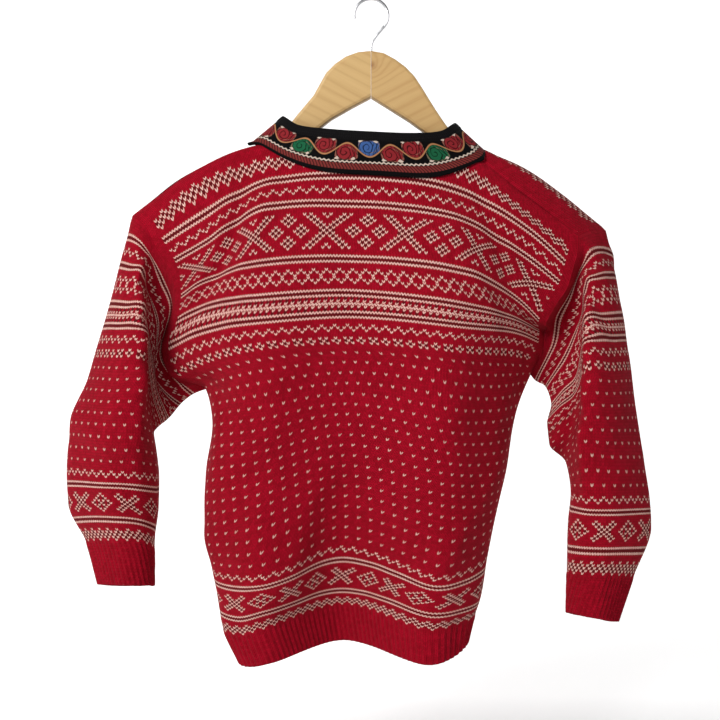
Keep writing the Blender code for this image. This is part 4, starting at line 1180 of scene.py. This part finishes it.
# A woven ribbon: a waving vine with a fan of petals in each bend, and a braid below it.
def ribbonMaterial():
    material, shader, start = newMaterial("collar_ribbon", ribbon["black"], 0.75)
    uv = start.node("ShaderNodeUVMap", {"uv_map": "stitches"})
    parts = start.node("ShaderNodeSeparateXYZ", None, {0: uv})
    u, v = parts * float(uvBand[0]), parts.other("Y") * float(uvBand[1])
    half = ribbon["wave"] / 2
    phase = (u - ribbon["start"]) / ribbon["wave"]
    swing = (phase + 0.25).wave()
    apart = v - ribbon["line"] - swing * ribbon["swing"]
    bend = (phase * 2.0 + 0.5).maths("FLOOR")
    over = (bend * 0.5).maths("FRACT").above(0.25)
    side = over * 2.0 - 1.0
    reach = u - ribbon["start"] - bend * half
    rise = (v - ribbon["line"]) * side
    inner = apart * side
    # a scrolled palmette fills each bend: its outline, then the curls drawn in it
    place = start.node("ShaderNodeTexCoord", output="Object")
    reach = reach + (noiseOn(start, place, 190.0, 1.0) - 0.5) * 3.2
    rise = rise + (noiseOn(start, place, 230.0, 1.0) - 0.5) * 2.6
    oval = (abs(reach / 12.2) ** 3.0 + abs((rise - 0.6) / 9.5) ** 3.0) ** 0.333
    palm = oval.below(1.0, 0.08) * inner.above(1.0)
    tail = abs(inner - 2.7).below(1.8, 0.3) * reach.above(1.0) * rise.above(-7.0)
    fan = (palm + tail).maths("MINIMUM", 1.0)
    across = reach + 2.2
    up = rise - 2.6
    radius = (across * across + up * up).maths("SQRT")
    angle = up.maths("ARCTAN2", across) / (2.0 * math.pi)
    curls = (radius / 3.9 - angle).fromMiddle().below(0.12, 0.1) * palm * radius.above(1.0)
    veins = ((reach - rise * 0.5) / 3.4).fromMiddle().below(0.1, 0.1)
    curls = (curls + veins * fan * radius.above(6.0)).maths("MINIMUM", 1.0)
    rim = (abs(oval - 0.93).below(0.06, 0.05) * palm
           + abs(inner - 3.6).below(0.35, 0.2) * tail).maths("MINIMUM", 1.0)
    turn = (bend / 6.0).maths("FRACT") * 6.0
    green = abs(turn - 3.0).above(2.5)
    blue = abs(turn - 3.0).below(0.5)
    petal = green.blend(ribbon["red"], ribbon["green"])
    petal = blue.blend(petal, ribbon["blue"])
    colour = fan.blend(ribbon["black"], petal)
    colour = (rim * 0.7).blend(colour, ribbon["rim"])
    colour = (curls * 0.85).blend(colour, ribbon["black"])
    # small pale leaves beside each palmette's far end
    leafReach = abs(abs(reach + 1.0) - 8.0)
    leafRise = abs(rise - 8.6)
    leaf = (leafReach * 0.8 + leafRise * 1.2).below(1.9, 0.5)
    colour = leaf.blend(colour, ribbon["cream"])
    colour = abs(apart).below(0.75, 0.5).blend(colour, ribbon["vine"])
    # the foot: black edge, slanted braid, scalloped line, black line
    braid = ((u + v * 0.7) / 3.0).fromMiddle().below(0.3, 0.2)
    braid = braid.blend(ribbon["braidDark"], ribbon["braid"])
    scallop = (u / 4.3 + 0.25).wave() * 0.55
    pale = abs(v - ribbon["scallopLine"] - scallop).below(0.7, 0.5)
    inField = v.above(ribbon["field"][0]) * v.below(ribbon["field"][1])
    colour = inField.blend(ribbon["black"], colour)
    inBraid = abs(v - ribbon["braidLine"]).below(3.0, 0.3)
    colour = inBraid.blend(colour, braid)
    colour = pale.blend(colour, ribbon["cream"])
    threads = (u / 0.9).wave() * (v / 0.7).wave()
    lint = noiseOn(start, place, 700.0)
    colour = (0.12 + threads * 0.08 + (lint - 0.5) * 0.3).maths("MAXIMUM", 0.0).blend(
        colour, (0.0, 0.0, 0.0, 1))
    connect(colour, shader, "Base Color")
    emboss(threads * 0.5 + lint * 0.5 + leaf, shader, 0.5, 0.0003)
    setCloth(shader, ribbon)
    return material


rib = {
    "view": (0.012, 0.011, 0.012, 1),
    "deepShade": (0.001, 0.001, 0.001, 1),
    "yarn": (0.009, 0.008, 0.009, 1),
    "loop": 2.1,             # width and height of a stitch
    "row": 2.0,
    "gloss": 0.08,
    "sheen": 0.02,
}


# The black knitted binding.
def bindingMaterial():
    material, shader, start = newMaterial("collar_black", rib["view"], 0.85)
    uv = start.node("ShaderNodeUVMap", {"uv_map": "stitches"})
    parts = start.node("ShaderNodeSeparateXYZ", None, {0: uv})
    u, v = parts * float(uvBand[0]), parts.other("Y") * float(uvBand[1])
    loops, rows = (u / rib["loop"]).fromMiddle(), (v / rib["row"]).fromMiddle()
    place = start.node("ShaderNodeTexCoord", output="Object")
    lint = noiseOn(start, place, 600.0)
    # painted shade between the loops and rows of the black yarn, mixed with random lint
    shade = (1.0 - loops * 1.2) * (1.0 - rows * 0.8)
    colour = (shade * 0.6 + lint * 0.4).blend(rib["deepShade"], rib["yarn"])
    connect(colour, shader, "Base Color")
    emboss(shade + lint * 0.3, shader, 0.8, 0.0006)
    setCloth(shader, rib)
    return material


pine = {
    "pale": (0.66, 0.44, 0.19, 1),
    "amber": (0.52, 0.30, 0.11, 1),
    "line": (0.36, 0.18, 0.06, 1),
    "knot": (0.30, 0.12, 0.045, 1),
    "slope": 27,             # degrees that the grain is turned, either way
    "rightWarm": 0.22,       # how much more amber the right arm is
    "rightKnot": (0.0007, -0.006, -0.0645),
    "gloss": 0.35,
}


# Pine whose grain runs along an arm; slope turns it, knot is a place in metres or None.
def pineMaterial(name, slope, warm, knot):
    material, shader, start = newMaterial(name, pine["pale"], 0.42)
    place = start.node("ShaderNodeTexCoord", output="Object")
    turned = start.node("ShaderNodeMapping", None, {"Vector": place,
                                                    "Rotation": (0.0, slope, 0.0)})
    parts = start.node("ShaderNodeSeparateXYZ", None, {0: turned})
    x, y, z = parts, parts.other("Y"), parts.other("Z")
    if knot:
        away = start.node("ShaderNodeVectorMath", {"operation": "DISTANCE"},
                          {0: place, 1: knot}, "Value")
        bulge = (away * -110.0).maths("EXPONENT")
    stretched = start.node("ShaderNodeCombineXYZ", None, {0: x * 6.0, 1: y * 60.0,
                                                          2: z * 60.0})
    drift = noiseOn(start, stretched, 1.0, 2.0)
    rings = z * 210.0 + drift * 2.6 + y * 60.0
    if knot:
        rings = rings + bulge * 7.0
    band = (rings * 0.5).wave() * 0.5 + 0.5
    fine = start.node("ShaderNodeCombineXYZ", None, {0: x * 30.0, 1: y * 700.0, 2: z * 700.0})
    fibre = noiseOn(start, fine, 1.0, 3.0)
    amber = (band ** 2.0 * 0.28 + (fibre - 0.5) * 0.5 + drift * 0.3 + warm).held()
    colour = amber.blend(pine["pale"], pine["amber"])
    colour = (band ** 14.0 * 0.10).blend(colour, pine["line"])
    if knot:
        colour = (away * -330.0).maths("EXPONENT").maths("MINIMUM", 1.0).blend(
            colour, pine["knot"])
    connect(colour, shader, "Base Color")
    connect(0.36 + fibre * 0.2, shader, "Roughness")
    emboss(fibre + band * 0.3, shader, 0.25, 0.0003)
    shader.inputs["Specular IOR Level"].default_value = pine["gloss"]
    return material


wire = {
    "view": (0.55, 0.55, 0.56, 1),
    "dark": (0.46, 0.46, 0.48, 1),
    "bright": (0.64, 0.64, 0.65, 1),
}


def steelMaterial():
    material, shader, start = newMaterial("hook_wire", wire["view"], 0.28)
    place = start.node("ShaderNodeTexCoord", output="Object")
    scuffs = noiseOn(start, place, 260.0)
    connect(scuffs.blend(wire["dark"], wire["bright"]), shader, "Base Color")
    connect(0.2 + scuffs * 0.22, shader, "Roughness")
    shader.inputs["Metallic"].default_value = 1.0
    return material


# Building.
print("surfaces")
backSurface, frontSurface = panelSurface(False, backSlides), panelSurface(True)
leftSurface, rightSurface = sleeveSurface("left"), sleeveSurface("right")
joinSeams(backSurface, frontSurface, leftSurface, rightSurface)

print("knitting")
knit = knitMaterial("wool_knit")
knitInside = knitMaterial("wool_inside", inside=True)
panels = {
    "back": buildPanel("back_knit", backSurface, False, backCreases, 11),
    "front": buildPanel("front_knit", frontSurface, True, frontCreases, 12),
    "sleeve_left": buildSleeve("sleeve_left_knit", "left", leftSurface, leftCreases, 13,
                                leftSlides),
    "sleeve_right": buildSleeve("sleeve_right_knit", "right", rightSurface, rightCreases, 14),
}
for node, (piece, lining) in panels.items():
    piece.data.materials.append(knit)
    lining.data.materials.append(knitInside)
    for part in (piece, lining):
        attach(part, "root")
        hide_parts(node)

print("collar")
band, binding, bandTall = buildCollar()
print("band height", round(bandTall, 1))
band.data.materials.append(ribbonMaterial())
binding.data.materials.append(bindingMaterial())
for piece, node, slot in ((band, "neck_band", "ribbon"), (binding, "neck_binding", "binding")):
    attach(piece, "root")
    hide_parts(node)

print("hanger")
finishes = {
    "hanger_arm_left": pineMaterial("pine_left", math.radians(-pine["slope"]), 0.0, None),
    "hanger_arm_right": pineMaterial("pine_right", math.radians(pine["slope"]),
                                     pine["rightWarm"], pine["rightKnot"]),
    "hanger_hook": steelMaterial(),
}
for node, material in finishes.items():
    for slot in bpy.data.objects[node].material_slots:
        slot.material = material

# Stage, lights and camera.
print("stage")
stage = {
    "floorHeight": -0.80,
    "tint": (0.86, 0.86, 0.86, 1),
    "glow": 0.62,                # of the floor's far part, which gives the even backdrop
    "glowRise": 2.5,             # how quickly the glow comes in behind the hanger, per metre
    "wall": (0.9, 2.1),          # where the floor starts to turn up, and where it is a wall
    "world": 0.115,
    "worldTint": (1.0, 0.995, 0.985, 1),
    # place, aim, size across and power
    "key": ((-1.5, -2.0, 0.95), (0.0, 0.0, -0.3), 1.3, 67.0),
    "fill": ((1.6, -1.9, 0.15), (0.0, 0.0, -0.35), 1.4, 6.5),
    "camera": (-0.0107, -1.050, -0.349),
    "lens": 54.1,
}
bm = bmesh.new()
edge = [bm.verts.new((-4.0, -4.0, stage["floorHeight"])),
        bm.verts.new((4.0, -4.0, stage["floorHeight"]))]
line = bm.edges.new(edge)
near, far = stage["wall"]
sweepPath = [(near, 0.0)]
for step in range(1, 13):
    turnAngle = math.radians(90 * step / 12)
    sweepPath.append((near + (far - near) * math.sin(turnAngle),
                      (far - near) * (1 - math.cos(turnAngle))))
sweepPath.append((far, 4.0))
for y, z in sweepPath:
    grown = bmesh.ops.extrude_edge_only(bm, edges=[line])["geom"]
    line = next(item for item in grown if isinstance(item, bmesh.types.BMEdge))
    for vert in line.verts:
        vert.co.y, vert.co.z = y, stage["floorHeight"] + z
bmesh.ops.recalc_face_normals(bm, faces=bm.faces)
if max(bm.faces, key=lambda face: face.calc_area()).normal.z < 0:
    bmesh.ops.reverse_faces(bm, faces=bm.faces)
floorMesh = bpy.data.meshes.new("floor")
bm.to_mesh(floorMesh)
bm.free()
floorMesh.shade_smooth()
floor = bpy.data.objects.new("floor", floorMesh)
bpy.context.collection.objects.link(floor)
floorMaterial, floorShader, floorStart = newMaterial("floor_paint", stage["tint"], 0.95)
floorShader.inputs["Base Color"].default_value = stage["tint"]
floorShader.inputs["Specular IOR Level"].default_value = 0.1
floorPlace = floorStart.node("ShaderNodeTexCoord", output="Object")
floorDepth = floorStart.node("ShaderNodeSeparateXYZ", None, {0: floorPlace}, 1)
farPart = (floorDepth * stage["glowRise"]).held()
connect(farPart.blend((0.0, 0.0, 0.0, 1), (1.0, 1.0, 1.0, 1)), floorShader, "Emission Color")
floorShader.inputs["Emission Strength"].default_value = stage["glow"]
floorMesh.materials.append(floorMaterial)

world = bpy.data.worlds.new("studio")
world.use_nodes = True
backdrop = world.node_tree.nodes["Background"]
backdrop.inputs["Color"].default_value = stage["worldTint"]
backdrop.inputs["Strength"].default_value = stage["world"]
bpy.context.scene.world = world


def addLight(name, place, aim, size, power):
    data = bpy.data.lights.new(name, "AREA")
    data.shape = "DISK"
    data.size = size
    data.energy = power
    lamp = bpy.data.objects.new(name, data)
    lamp.location = place
    direction = np.array(aim) - np.array(place)
    flat = math.hypot(direction[0], direction[1])
    lamp.rotation_euler = (math.pi / 2 + math.atan2(direction[2], flat), 0.0,
                           math.atan2(direction[1], direction[0]) - math.pi / 2)
    bpy.context.collection.objects.link(lamp)


for name in ("key", "fill"):
    addLight(name, *stage[name])

cameraData = bpy.data.cameras.new("camera")
cameraData.lens = stage["lens"]
cameraData.sensor_width = 36.0
camera = bpy.data.objects.new("camera", cameraData)
camera.location = stage["camera"]
camera.rotation_euler = (math.radians(90), 0.0, 0.0)
bpy.context.collection.objects.link(camera)
bpy.context.scene.camera = camera
bpy.context.scene.view_settings.view_transform = "Standard"
